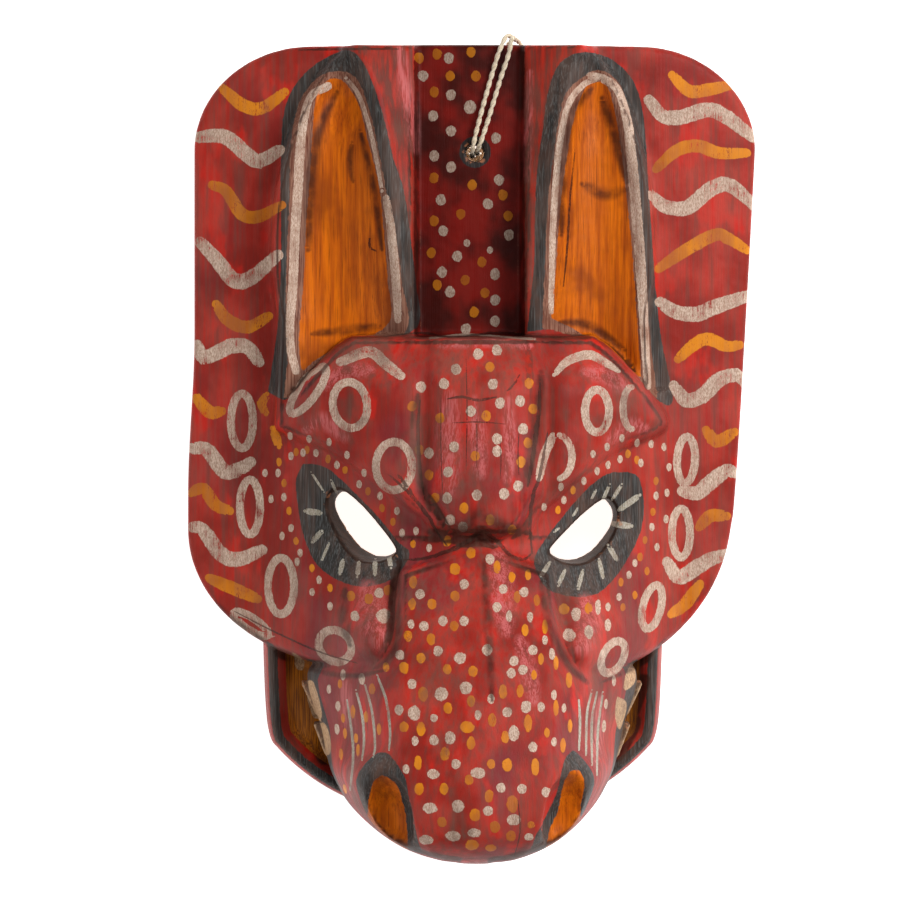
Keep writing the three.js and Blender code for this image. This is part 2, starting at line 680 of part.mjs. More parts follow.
// The loop of twine: out of the hole, up the channel, over the top edge, back below the arch and out again.
// Each point is given by its X, its distance down from the top edge and its Z.
const knotTop = panelHeight(cordHoleX) - panelWall - fitGap;
const cordFoot = knotTop + fitGap;
const cordTop = panelHeight(0) + cordDiameter / 2 + fitGap;
const cordRoute = [
  [0.2, 38.6, cordFoot], [0.2, 38.6, 22], [0.1, 38.4, 27], [0.3, 36.6, cordTop], [1.6, 30.8, cordTop + 0.6],
  [3.4, 23.8, cordTop + 0.3], [5.6, 15.8, cordTop], [7.8, 8.3, cordTop], [9.6, 2.8, cordTop + 1],
  [12.2, -2.65, cordTop - 1], [15, -2.65, 24], [17.4, -1.65, 16], [19, 2.8, 11.6], [19.4, 9.8, 9.8],
  [17.6, 16.8, 9.2], [14.4, 20, 9], [11, 17.8, 9.2], [10, 11.8, 10], [11, 4.8, 11.6], [13, -1.45, 15.2],
  [14.2, -2.65, 20.4], [14.6, -2.65, 27.4], [14, -1.05, cordTop + 1], [12.6, 4.8, cordTop + 0.8],
  [10.4, 11.3, cordTop], [8, 19.2, cordTop], [5.6, 27.2, cordTop + 0.4], [3.2, 34.4, cordTop + 0.8],
  [2, 37.2, 29.8], [1.9, 37.6, 25], [1.9, 37.6, cordFoot],
].map(([x, down, z]) => new THREE.Vector3(x, topY - down, z));

function cordGeometry() {
  const route = new THREE.CatmullRomCurve3(cordRoute, false, 'catmullrom', 0.5);
  const section = new THREE.Shape();
  for (let i = 0; i < cordSides; i += 1) {
    const angle = (i / cordSides) * 2 * Math.PI;
    const x = (cordDiameter / 2) * Math.cos(angle);
    const y = (cordDiameter / 2) * Math.sin(angle);
    if (i === 0) section.moveTo(x, y);
    else section.lineTo(x, y);
  }
  section.closePath();
  const stepCount = Math.round(route.getLength() / (cordDiameter * 2.2));
  return new THREE.ExtrudeGeometry(section, { extrudePath: route, steps: stepCount, curveSegments: 1 });
}

const paintedWood = new THREE.MeshStandardMaterial({ color: 0x9e3026, roughness: 0.45, metalness: 0 });
const twine = new THREE.MeshStandardMaterial({ color: 0xe2d3b6, roughness: 0.9, metalness: 0 });
const knottedTwine = new THREE.MeshStandardMaterial({ color: 0xd9c8a8, roughness: 0.92, metalness: 0 });

const mask = new THREE.Mesh(geometryOf(maskSolid()), paintedWood);
mask.name = 'mask';

const hangingCord = new THREE.Mesh(cordGeometry(), twine);
hangingCord.name = 'hanging_cord';

// The knot lies behind the hole, just under the ends of the cord
const cordKnot = new THREE.Mesh(new THREE.SphereGeometry(knotRadius, 14, 10), knottedTwine);
cordKnot.name = 'cord_knot';
cordKnot.scale.z = knotFlatness;
cordKnot.position.set(cordHoleX, cordHoleY, knotTop - knotRadius * knotFlatness);

const part = new THREE.Group();
part.add(mask, hangingCord, cordKnot);

export default part;
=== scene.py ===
import math

import bpy
import numpy as np
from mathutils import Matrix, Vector, kdtree


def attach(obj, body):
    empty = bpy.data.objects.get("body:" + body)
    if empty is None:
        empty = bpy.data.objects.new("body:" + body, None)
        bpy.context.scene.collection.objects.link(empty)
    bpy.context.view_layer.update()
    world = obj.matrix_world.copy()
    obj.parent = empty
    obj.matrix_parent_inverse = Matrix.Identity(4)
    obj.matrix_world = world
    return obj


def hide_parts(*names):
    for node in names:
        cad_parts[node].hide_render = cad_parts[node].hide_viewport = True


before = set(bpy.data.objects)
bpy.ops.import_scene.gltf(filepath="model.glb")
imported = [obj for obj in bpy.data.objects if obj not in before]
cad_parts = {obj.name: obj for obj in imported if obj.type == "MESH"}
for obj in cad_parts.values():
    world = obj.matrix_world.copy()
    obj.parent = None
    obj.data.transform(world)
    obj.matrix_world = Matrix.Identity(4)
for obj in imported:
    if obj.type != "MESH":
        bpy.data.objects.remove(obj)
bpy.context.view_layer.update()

# The camera looks straight down on the mask, which lies on its back rim. It stands a little left of the
# middle, far enough away for the long lens of a product photograph.
picture_pixels = 900
camera_x = -0.00775
camera_y = -0.0014
camera_z = 1.2
lens_pixels = 3314
sensor_width = 36

camera_data = bpy.data.cameras.new("camera")
camera_data.sensor_width = sensor_width
camera_data.lens = sensor_width * lens_pixels / picture_pixels
camera_data.clip_start = 0.05
camera_data.clip_end = 20
camera = bpy.data.objects.new("camera", camera_data)
camera.location = (camera_x, camera_y, camera_z)
bpy.context.collection.objects.link(camera)
bpy.context.scene.camera = camera

# The hanging cord: a loop of thin cream twine, two plies laid together. Both ends come out of the hole in
# the channel between the ears. They run up the channel, over the top edge and back behind it. Each point is
# its x, its distance down from the top edge and its z, in millimetres, as in the part's source.
millimetre = 0.001
top_y = 141.8
tip_y = -141.8
left_x = -101.5
right_x = 101.5
cord_diameter = 1.8
fit_gap = 0.35
cord_hole_x = 1.1
cord_hole_y = top_y - 38.1
panel_wall = 13.0
panel_edge_height = 16.0
panel_crown = 15.0


def panel_height(x):
    return panel_edge_height + panel_crown * (1 - (x / right_x) ** 2)


knot_top = panel_height(cord_hole_x) - panel_wall - fit_gap
cord_foot = knot_top + fit_gap
cord_top = panel_height(0) + cord_diameter / 2 + fit_gap
cord_route = [
    (0.2, 38.6, cord_foot), (0.2, 38.6, 22), (0.1, 38.4, 27), (0.3, 36.6, cord_top),
    (1.6, 30.8, cord_top + 0.6), (3.4, 23.8, cord_top + 0.3), (5.6, 15.8, cord_top), (7.8, 8.3, cord_top),
    (9.6, 2.8, cord_top + 1), (12.2, -2.65, cord_top - 1), (15, -2.65, 24), (17.4, -1.65, 16),
    (19, 2.8, 11.6), (19.4, 9.8, 9.8), (17.6, 16.8, 9.2), (14.4, 20, 9), (11, 17.8, 9.2), (10, 11.8, 10),
    (11, 4.8, 11.6), (13, -1.45, 15.2), (14.2, -2.65, 20.4), (14.6, -2.65, 27.4), (14, -1.05, cord_top + 1),
    (12.6, 4.8, cord_top + 0.8), (10.4, 11.3, cord_top), (8, 19.2, cord_top), (5.6, 27.2, cord_top + 0.4),
    (3.2, 34.4, cord_top + 0.8), (2, 37.2, 29.8), (1.9, 37.6, 25), (1.9, 37.6, cord_foot),
]


def smooth_route(points, spacing):
    """A curve through the points, sampled evenly."""
    points = np.array(points, float)
    before = 2 * points[0] - points[1]
    after = 2 * points[-1] - points[-2]
    padded = np.vstack([before, points, after])
    t = np.linspace(0, 1, 24, endpoint=False)[:, None]
    pieces = []
    for i in range(1, len(padded) - 2):
        start, end = padded[i], padded[i + 1]
        leave = (padded[i + 1] - padded[i - 1]) / 2
        arrive = (padded[i + 2] - padded[i]) / 2
        pieces.append((2 * t**3 - 3 * t**2 + 1) * start + (t**3 - 2 * t**2 + t) * leave
                      + (3 * t**2 - 2 * t**3) * end + (t**3 - t**2) * arrive)
    curve = np.vstack(pieces + [points[-1:]])
    walked = np.concatenate([[0], np.cumsum(np.linalg.norm(np.diff(curve, axis=0), axis=1))])
    places = np.linspace(0, walked[-1], max(2, int(round(walked[-1] / spacing)) + 1))
    return np.column_stack([np.interp(places, walked, curve[:, k]) for k in range(3)])


def twine_mesh(name, routes, diameter, lay_length=6.8, ply_sides=10):
    """Two plies twisted round each other along each route, with a place along and round each ply."""
    points, faces, along, around = [], [], [], []
    ply_offset = diameter * 0.17
    ply_radius = diameter * 0.33
    for route in routes:
        steps_along = np.linalg.norm(np.diff(route, axis=0), axis=1)
        walked = np.concatenate([[0], np.cumsum(steps_along)])
        headings = np.gradient(route, axis=0)
        headings /= np.linalg.norm(headings, axis=1)[:, None]
        side = np.cross(headings[0], (0.31, 0.52, 0.79))
        sides = []
        for heading in headings:
            side = side - heading * side.dot(heading)
            side /= np.linalg.norm(side)
            sides.append(side)
        sides = np.array(sides)
        others = np.cross(headings, sides)
        for ply in range(2):
            turn = walked / lay_length * 2 * math.pi + ply * math.pi
            centre = route + ply_offset * (np.cos(turn)[:, None] * sides + np.sin(turn)[:, None] * others)
            first = len(points)
            for k in range(ply_sides):
                angle = turn + k / ply_sides * 2 * math.pi
                outward = np.cos(angle)[:, None] * sides + np.sin(angle)[:, None] * others
                points.extend((centre + ply_radius * outward).tolist())
                along.extend(walked.tolist())
                around.extend([k / ply_sides] * len(walked))
            count = len(walked)
            for k in range(ply_sides):
                a = first + k * count
                b = first + (k + 1) % ply_sides * count
                for i in range(count - 1):
                    faces.append((a + i, b + i, b + i + 1, a + i + 1))
            faces.append(tuple(first + k * count for k in range(ply_sides - 1, -1, -1)))
            faces.append(tuple(first + k * count + count - 1 for k in range(ply_sides)))
    mesh = bpy.data.meshes.new(name)
    mesh.from_pydata([[c * millimetre for c in p] for p in points], [], faces)
    for label, values in (("along", along), ("around", around)):
        mesh.attributes.new(label, "FLOAT", "POINT").data.foreach_set("value", values)
    mesh.shade_smooth()
    piece = bpy.data.objects.new(name, mesh)
    bpy.context.collection.objects.link(piece)
    return piece


cord_line = smooth_route([(x, top_y - down, z) for x, down, z in cord_route], 0.55)
cord = twine_mesh("hanging_cord_twine", [cord_line], cord_diameter)


def tone(red, green, blue):
    """A colour as a painter's card gives it, 0 to 255, made linear."""
    shares = [c / 255 for c in (red, green, blue)]
    return tuple(((s + 0.055) / 1.055) ** 2.4 if s > 10 / 255 else s / 12.92 for s in shares) + (1,)


def add_node(tree, kind, inputs=None, **settings):
    made = tree.nodes.new(kind)
    for key, value in settings.items():
        setattr(made, key, value)
    for key, value in (inputs or {}).items():
        if isinstance(value, bpy.types.NodeSocket):
            tree.links.new(value, made.inputs[key])
        else:
            made.inputs[key].default_value = value
    return made


def calculate(tree, operation, a, b=0.0, clamp=False):
    made = add_node(tree, "ShaderNodeMath", {0: a, 1: b}, operation=operation, use_clamp=clamp)
    return made.outputs[0]


def rise_between(tree, value, low, high, to_low=0.0, to_high=1.0):
    made = add_node(tree, "ShaderNodeMapRange", {"Value": value, "From Min": low, "From Max": high,
                    "To Min": to_low, "To Max": to_high}, interpolation_type="SMOOTHSTEP")
    return made.outputs[0]


def lay_over(tree, cover, under, over):
    made = add_node(tree, "ShaderNodeMix", {0: cover, 6: under, 7: over}, data_type="RGBA")
    return made.outputs[2]


def place_in_millimetres(tree):
    place = add_node(tree, "ShaderNodeTexCoord").outputs["Object"]
    scaled = add_node(tree, "ShaderNodeVectorMath", {0: place, "Scale": 1 / millimetre}, operation="SCALE")
    return scaled.outputs[0]


def noise(tree, place, scale=1.0, detail=3.0, rough=0.55):
    made = add_node(tree, "ShaderNodeTexNoise", {"Vector": place, "Scale": scale, "Detail": detail,
                    "Roughness": rough})
    return made.outputs[0]


def reading(tree, label, socket="Fac"):
    return add_node(tree, "ShaderNodeAttribute", attribute_name=label).outputs[socket]


# The twine is pale, dry and matt, with fine fibres along each ply
twine_material = bpy.data.materials.new("cream_twine")
twine_material.use_nodes = True
tree = twine_material.node_tree
tree.nodes.clear()
place = place_in_millimetres(tree)
around = calculate(tree, "MULTIPLY", reading(tree, "around"), 14.0)
fibres = add_node(tree, "ShaderNodeCombineXYZ", {0: reading(tree, "along"), 1: around, 2: 0.0}).outputs[0]
fibre = noise(tree, fibres, 1.2, 4, 0.7)
fleck = noise(tree, place, 0.5, 3)
colour = lay_over(tree, rise_between(tree, fibre, 0.35, 0.7), tone(240, 226, 202), tone(196, 172, 138))
colour = lay_over(tree, rise_between(tree, fleck, 0.58, 0.72, 0, 0.5), colour, tone(158, 132, 98))
surface = add_node(tree, "ShaderNodeBump", {"Strength": 0.6, "Distance": 0.0002, "Height": fibre}).outputs[0]
shader = add_node(tree, "ShaderNodeBsdfPrincipled", {
    "Base Color": colour, "Normal": surface, "Roughness": 0.85, "Sheen Weight": 0.2,
})
add_node(tree, "ShaderNodeOutputMaterial", {"Surface": shader.outputs[0]})
cord.data.materials.append(twine_material)
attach(cord, "root")
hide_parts("hanging_cord")

# The knot: the two ends of the twine are tied together behind the hole in one overhand knot, pulled tight,
# with two short cut tails. It is too big to pass through the hole.
knot_radius = 4.2
knot_flatness = 0.8
knot_half = knot_radius * knot_flatness
knot_middle = (cord_hole_x, cord_hole_y, knot_top - knot_half)
knot_turns = 120
knot_tail = 5.5
knot_swelling = 1.05

turn = np.linspace(0, 2 * math.pi, knot_turns, endpoint=False)
knot_reach = (knot_radius - cord_diameter / 2) / 3
knot_line = np.column_stack([
    knot_middle[0] + knot_reach * (np.sin(turn) + 2 * np.sin(2 * turn)),
    knot_middle[1] + knot_reach * (np.cos(turn) - 2 * np.cos(2 * turn)),
    knot_middle[2] - (knot_half - cord_diameter / 2) * np.sin(3 * turn),
])
tail_lines = [
    smooth_route([
        (knot_middle[0] + side * 1.2, knot_middle[1] + 0.6 * side, knot_middle[2] - 1),
        (knot_middle[0] + side * 2.4, knot_middle[1] - 1.5, knot_middle[2] - 3.4),
        (knot_middle[0] + side * 3.4, knot_middle[1] - 3.8, knot_middle[2] - knot_tail),
    ], 0.5)
    for side in (-1, 1)
]
knot_loop = np.vstack([knot_line, knot_line[:1]])
knot = twine_mesh("cord_knot_twine", [knot_loop] + tail_lines, cord_diameter * knot_swelling)
knot.data.materials.append(twine_material)
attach(knot, "root")
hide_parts("cord_knot")

# The carved block. Its forms are heights above the plane of the back rim, in millimetres, over a grid of
# places. The panel is an arch with upright sides and rounded corners.
grid_step = 0.5
grid_x = np.arange(-104, 104 + grid_step / 2, grid_step)
grid_y = np.arange(-145, 145 + grid_step / 2, grid_step)
X, Y = np.meshgrid(grid_x, grid_y)
below_all = -60.0


def mix(a, b, t):
    return a + (b - a) * t


def ease(t):
    c = np.clip(t, 0, 1)
    return c * c * (3 - 2 * c)


def quarter_inset(t):
    return 1 - np.sqrt(1 - np.clip(t, 0, 1) ** 2)


def through(stations, place):
    """A smooth curve through a few (place, value) stations."""
    p, v = np.array(stations, float).T
    slope = np.empty(len(p))
    slope[1:-1] = (v[2:] - v[:-2]) / (p[2:] - p[:-2])
    slope[0] = (v[1] - v[0]) / (p[1] - p[0])
    slope[-1] = (v[-1] - v[-2]) / (p[-1] - p[-2])
    place = np.clip(place, p[0], p[-1])
    i = np.clip(np.searchsorted(p, place, side="right") - 1, 0, len(p) - 2)
    span = p[i + 1] - p[i]
    t = (place - p[i]) / span
    rise = (2 * t**3 - 3 * t**2 + 1) * v[i] + (3 * t**2 - 2 * t**3) * v[i + 1]
    return rise + (t**3 - 2 * t**2 + t) * span * slope[i] + (t**3 - t**2) * span * slope[i + 1]


def inside_distance(outline, margin=None):
    """How far each place of the grid is inside a closed outline; outside it is negative.
    Places farther away than the margin, where there is one, only get the margin."""
    outline = np.array(outline, float)
    rows, columns = slice(None), slice(None)
    if margin is not None:
        low, high = outline.min(0) - margin, outline.max(0) + margin
        columns = slice(*np.searchsorted(grid_x, (low[0], high[0])))
        rows = slice(*np.searchsorted(grid_y, (low[1], high[1])))
    x, y = X[rows, columns], Y[rows, columns]
    nearest = np.full(x.shape, 1e9)
    winding = np.zeros(x.shape, bool)
    for (ax, ay), (bx, by) in zip(outline, np.roll(outline, -1, axis=0)):
        length2 = (bx - ax) ** 2 + (by - ay) ** 2
        if length2 < 1e-12:
            continue
        t = np.clip(((x - ax) * (bx - ax) + (y - ay) * (by - ay)) / length2, 0, 1)
        nearest = np.minimum(nearest, (x - ax - t * (bx - ax)) ** 2 + (y - ay - t * (by - ay)) ** 2)
        if ay != by:
            crosses = (y < ay) != (y < by)
            winding ^= crosses & (x < ax + (y - ay) * (bx - ax) / (by - ay))
    near = np.where(winding, 1, -1) * np.sqrt(nearest)
    if margin is None:
        return near
    whole = np.full(X.shape, -float(margin))
    whole[rows, columns] = np.maximum(near, -margin)
    return whole


def smooth_max(a, b, reach):
    h = np.clip(0.5 + 0.5 * (a - b) / reach, 0, 1)
    return b + (a - b) * h + reach * h * (1 - h)


def smooth_min(a, b, reach):
    return -smooth_max(-a, -b, reach)


def soften(heights, passes):
    for _ in range(passes):
        padded = np.pad(heights, 1, mode="edge")
        heights = (padded[:-2, 1:-1] + 2 * padded[1:-1, 1:-1] + padded[2:, 1:-1]) / 4
        padded = np.pad(heights, 1, mode="edge")
        heights = (padded[1:-1, :-2] + 2 * padded[1:-1, 1:-1] + padded[1:-1, 2:]) / 4
    return heights


top_corner_width, top_corner_height = 41, 36
lower_corner_width, lower_corner_height, lower_corner_right = 62, 48, 60
lower_left_y, lower_right_y = -78, -82
left_taper, right_taper = 2.3, 8.5


def panel_left(y):
    side = left_x + left_taper * ease((y + 17) / 57)
    corner = top_corner_width * quarter_inset((y - top_y + top_corner_height) / top_corner_height)
    lower = quarter_inset((lower_left_y + lower_corner_height - y) / lower_corner_height)
    return side + corner + lower_corner_width * lower


def panel_right(y):
    side = right_x - right_taper * (1 - np.clip((y + 29) / 135, 0, 1) ** 0.85)
    corner = top_corner_width * quarter_inset((y - top_y + top_corner_height) / top_corner_height)
    lower = quarter_inset((lower_right_y + lower_corner_right - y) / lower_corner_right)
    return side - corner - lower_corner_width * lower


def close_rows(low, high, count):
    """Places from low to high that crowd together near both ends, for round corners."""
    t = (1 - np.cos(np.linspace(0, math.pi, count))) / 2
    return low + (high - low) * t


left_rows = close_rows(lower_left_y, top_y, 90)
right_rows = close_rows(lower_right_y, top_y, 90)
panel_outline = np.vstack([
    np.column_stack([panel_right(right_rows), right_rows]),
    np.column_stack([panel_left(left_rows), left_rows])[::-1],
])
panel_inside = inside_distance(panel_outline)
panel_top = panel_height(X)

# The ears: two long leaf shapes, each dished inside a raised rim. A flank falls from each ear to the channel
# between them. They are carved from the same block, with a gouge mark or two left in the dishes.
ear_foot_y, ear_round_y, ear_tip_y, ear_tip_fall = 5, 45, top_y - 2.8, 39
ear_inner_height, ear_outer_height, ear_dish, ear_rim_width, ear_tip_half = 43, 35, 6.5, 4.5, 3
left_ear = {"centre": -43.5, "lean": -4, "half": 24, "flank": -19.4, "side": -1}
right_ear = {"centre": 41, "lean": 3, "half": 21, "flank": 17.5, "side": 1}


def ear_half_at(ear, y):
    t = np.clip((y - ear_round_y) / (ear_tip_y - ear_round_y), 0, 1)
    return np.maximum(ear_tip_half, ear["half"] * np.sqrt(1 - t * t))


def ear_centre_at(ear, y):
    t = np.clip((y - ear_round_y) / (ear_tip_y - ear_round_y), 0, 1)
    bend = ear["lean"] * np.sin(math.pi * t**0.8)
    return ear["centre"] + bend + 2 * ear["side"] * np.clip((ear_round_y - y) / 40, 0, 1)


def ear_height_at(y, across):
    fall = 4 * ease((y - ear_tip_y + ear_tip_fall) / ear_tip_fall)
    return mix(ear_inner_height, ear_outer_height, across * 0.5 + 0.5) - fall


def ear_heights(ear):
    heights = np.full(X.shape, below_all)
    for j, y in enumerate(grid_y):
        if y < ear_foot_y or y > top_y:
            continue
        half = float(ear_half_at(ear, y))
        centre = float(ear_centre_at(ear, y))
        inner = half - min(ear_rim_width, half * 0.4)
        dish = ear_dish * np.clip((inner - 1) / 8, 0, 1)
        out = np.linspace(-half, half, 41)
        drop = dish * np.clip(1 - (out / inner) ** 2, 0, 1) ** 0.8
        edge = 1.3 * np.clip((np.abs(out) - half + 1.6) / 1.6, 0, 1) ** 2
        top = ear_height_at(y, out / half) - drop - edge
        flank_top = mix(ear_height_at(y, -1), panel_height(0) + 3, ease((y - ear_round_y - 15) / 70))
        flank = ear["side"] * (ear["flank"] - centre)
        out = np.concatenate([[flank - 0.01, flank, flank + 0.8], out, [half + 1.2, half + 1.21]])
        foot = [below_all, panel_height(0) - 1, flank_top]
        top = np.concatenate([foot, top, [panel_height(60) - 3, below_all]])
        order = np.argsort(out)
        heights[j] = np.interp(ear["side"] * (grid_x - centre), out[order], top[order],
                               left=below_all, right=below_all)
    return heights


ears_top = np.maximum(ear_heights(left_ear), ear_heights(right_ear))

# The brow: a heavy sheet that overhangs the eyes and runs down to a V at the bridge of the nose. A strip of
# forehead stands proud along its middle, between two grooves.
brow_top_y, brow_height, brow_rise, brow_lean, brow_fall, brow_half = 38.5, 53, 10, 6, 24, 72
forehead_x, forehead_half, forehead_proud, groove_depth, notch_y = 4.5, 20, 7, 2.5, -34
brow_sides = [(notch_y, 8), (-29, 20), (-19, 29.5), (-11, 38), (-2.5, 50), (4, 66), (9, 69.5), (22.4, 59.3),
              (31.7, 51), (35, 47.5), (brow_top_y, 42)]
brow_left = [(notch_y, 8), (-29, 13), (-24, 18.5), (-19, 26), (-11, 37), (-2.5, 50)] + brow_sides[5:]
brow_right = [(-38.5, 17.5), (-34, 19.6), (-29, 20.4), (-24, 23), (-19, 28.5), (-11, 38)] + brow_sides[4:]
bridge_notch = [(-3, -32.4), (3.2, -29.6), (8, -33.4), (12.5, -37.5)]


def brow_side(stations, side):
    rows = np.linspace(stations[0][0], brow_top_y, 90)
    return np.column_stack([side * through(stations, rows), rows])


brow_outline = [brow_side(brow_right, 1), brow_side(brow_left, -1)[::-1], bridge_notch]
brow_inside = inside_distance(np.vstack(brow_outline))
strip_half = np.minimum(forehead_half, (through(brow_sides, Y) - forehead_x - 1) / 1.35)
brow_sheet = brow_height + brow_rise * ease((brow_top_y - Y) / 21) + brow_lean * ease((10 - Y) / 40)
across = (X - forehead_x) / strip_half
strip = forehead_proud * mix(0.5, 1, ease((20 - Y) / 30)) * np.clip(1 - across * across, 0, 1) ** 0.6
groove = groove_depth * np.exp(-(((np.abs(across) - 1.06) / 0.16) ** 2)) * ease((30 - Y) / 12)
brow_top = brow_sheet - brow_fall * (X / brow_half) ** 2 + strip - groove - 6 * ease((notch_y + 8 - Y) / 8)
brow_edge_round = 3.6
brow_soft_width, brow_soft_fall = 13.0, 10.0
outer_brow = ease((np.abs(X) - 14) / 22) * ease((27 - Y) / 14)
edge_width = mix(brow_edge_round, brow_soft_width, outer_brow)
edge_fall = mix(brow_edge_round, brow_soft_fall, outer_brow)
brow_top = brow_top - edge_fall * quarter_inset(1 - brow_inside / edge_width)
brow_top = np.where(brow_inside > 0, brow_top, below_all)

# The face below the brow: a dome that dips at the eyes and swells at the cheeks. Its lower edge is cut round
# in two lobes, one each side of the snout.
face_half, face_top_y, face_edge_height, socket_depth, cheek_proud = 80, 20, 15, 4, 15
face_rise = [(-84, 57), (-60, 55), (-30, 49), (0, 45), (30, 36)]
lobe_round = 7.0


def bump(centre_x, centre_y, radius_x, radius_y):
    return np.exp(-(((X - centre_x) / radius_x) ** 2) - ((Y - centre_y) / radius_y) ** 2)


dome = face_edge_height + through(face_rise, Y) * np.clip(1 - (X / face_half) ** 2, 0, 1) ** 0.95
sockets = socket_depth * (bump(-40, -25, 14, 14) + bump(40, -25, 14, 14))
cheeks = cheek_proud * (bump(-34, -66, 10, 13) + bump(37, -70, 10, 13))
face_top = dome - sockets + cheeks
face_top = np.where(Y < face_top_y, face_top, below_all)
near_lobe = ease((-30 - Y) / 25)
lobe_fall = np.clip(face_top - panel_top, 0, None) * quarter_inset(1 - panel_inside / lobe_round) * 0.55
face_top = face_top - lobe_fall * near_lobe

# The snout: a long ridged plate on sloping walls that spread to the upper lip. Its places along are shares
# of its length, from the tip of the nose to the bridge.
snout_x, snout_base, lip_height, lip_x, snout_root_y = 1.6, 30, 37, 0, -32
nose_round, nose_under_z, nose_under_run = 0.335, 72, 14
plate_sides = [(0, 5), (0.016, 11), (0.053, 15.5), (0.107, 18.5), (0.199, 21.5), (0.308, 25.5), (0.508, 26.7),
               (0.745, 25.5), (0.909, 25)]
ridge_line = [(0, 78), (0.016, 88), (0.053, 98), (0.107, 104.5), (0.199, 106.5), (0.335, 103), (0.563, 94),
              (0.745, 84), (0.909, 73), (1, 67)]
lip_sides = [(0.199, 49.5), (0.381, 53), (0.563, 58), (0.645, 50), (0.745, 38), (0.909, 28)]


def snout_share(y):
    return (y - tip_y) / (snout_root_y - tip_y)


def plate_half_at(y):
    root = 25 * np.clip((snout_root_y - y) / 10.5, 0, 1) ** 1.6
    return np.maximum(0.6, np.minimum(root, through(plate_sides, snout_share(y))))


def ridge_height_at(y):
    return through(ridge_line, snout_share(y))


def lip_half_at(y):
    nose = np.sqrt(np.clip(1 - np.clip(1 - snout_share(y) / nose_round, 0, 1) ** 2.6, 0, 1))
    return np.maximum(6, through(lip_sides, snout_share(y)) * nose)


def snout_heights():
    heights = np.full(X.shape, below_all)
    for j, y in enumerate(grid_y):
        if y > snout_root_y + 1:
            continue
        at = max(y, tip_y)
        plate, lip, ridge = float(plate_half_at(at)), float(lip_half_at(at)), float(ridge_height_at(at))
        edge = ridge - 5 * min(1, plate / 26)
        bevel = float(ease((0.4 - snout_share(at)) / 0.15))
        wall = [(1, lip_height - 3), (0.985, lip_height),
                (mix(0.84, 0.91, bevel), mix(lip_height, edge, 0.18)),
                (mix(0.56, 0.78, bevel), mix(lip_height, edge, 0.48)),
                (mix(0.26, 0.56, bevel), mix(lip_height, edge, mix(0.82, 0.79, bevel))), (0, edge)]
        out = np.linspace(0, 1, 40)
        wall_top = through(sorted(wall), out)
        places, tops = [], []
        for s in (-1, 1):
            places.append(mix(snout_x, lip_x, out) + s * mix(plate, lip, out))
            tops.append(np.minimum(wall_top, edge))
        slope = mix(edge, ridge, 0.6)
        flat = np.linspace(-1, 1, 21)
        plate_top = through([(-1, edge), (-0.5, slope), (0, ridge), (0.5, slope), (1, edge)], flat)
        places = np.concatenate([places[0][::-1], snout_x + flat[1:-1] * plate, places[1]])
        tops = np.concatenate([tops[0][::-1], plate_top[1:-1], tops[1]])
        heights[j] = np.interp(grid_x, places, tops)
    return heights


snout_top = snout_heights()
lip_rows = close_rows(tip_y, snout_root_y, 120)
lip_edge = np.column_stack([lip_half_at(lip_rows), lip_rows])
lip_inside = inside_distance(np.vstack([lip_edge + (lip_x, 0), (lip_edge * (-1, 1) + (lip_x, 0))[::-1]]))

# The jaw: a low flap behind the snout with a lip round the open mouth. Between the jaw and the upper lip is
# the wood of the mouth, and two teeth a side hang there.
jaw_x, jaw_lip_height, mouth_depth, jaw_tip_y, jaw_root_y = -3.2, 24, 5, tip_y + 10.8, -45
jaw_lip_inset, mouth_inset = 4, 11
tooth_y, tooth_length, tooth_gap, tooth_proud, tooth_root = tip_y + 58.8, 12, 2.5, 2.6, 4
mouth_back_z, mouth_front_z, tooth_low_z, tooth_high_z = 4, snout_base + 8, snout_base - 6, snout_base + 2


def jaw_half_at(y):
    straight = through([(-108, 69), (-90, 70.5), (-60, 71.5), (-40, 72)], y)
    from_tip = y - jaw_tip_y
    return straight - 35 * quarter_inset(1 - from_tip / 33) - 14 * np.clip(1 - from_tip / 25, 0, 1)


jaw_rows = close_rows(jaw_tip_y, jaw_root_y, 90)
jaw_edge = np.column_stack([jaw_half_at(jaw_rows), jaw_rows])
jaw_inside = inside_distance(np.vstack([jaw_edge + (jaw_x, 0), (jaw_edge * (-1, 1) + (jaw_x, 0))[::-1]]))
jaw_profile = [(-1, 6), (0, 12), (0.8, 18.5), (2, 22.4), (jaw_lip_inset, jaw_lip_height), (6.2, 23.2),
               (mouth_inset, jaw_lip_height - mouth_depth), (40, jaw_lip_height - mouth_depth)]
jaw_top = through(jaw_profile, jaw_inside)

mouth_rows = np.linspace(tip_y + mouth_inset, -60, 60)
mouth_half = np.maximum(2, lip_half_at(mouth_rows - mouth_inset * 0.8) - mouth_inset)
mouth_edge = np.column_stack([mouth_half, mouth_rows])
mouth_inside = inside_distance(np.vstack([mouth_edge, (mouth_edge * (-1, 1))[::-1]]))

teeth_inside = np.full(X.shape, below_all)
for side in (-1, 1):
    for k in range(2):
        upper = tooth_y - k * (tooth_length + tooth_gap)
        lower = upper - tooth_length
        outline = [(lip_half_at(upper) - tooth_root, upper), (lip_half_at(lower) - tooth_root, lower),
                   (lip_half_at(lower) + tooth_proud / 5, lower), (lip_half_at(upper) + tooth_proud, upper)]
        outline = [(lip_x + side * float(x), y) for x, y in outline]
        teeth_inside = np.maximum(teeth_inside, inside_distance(outline, 20))

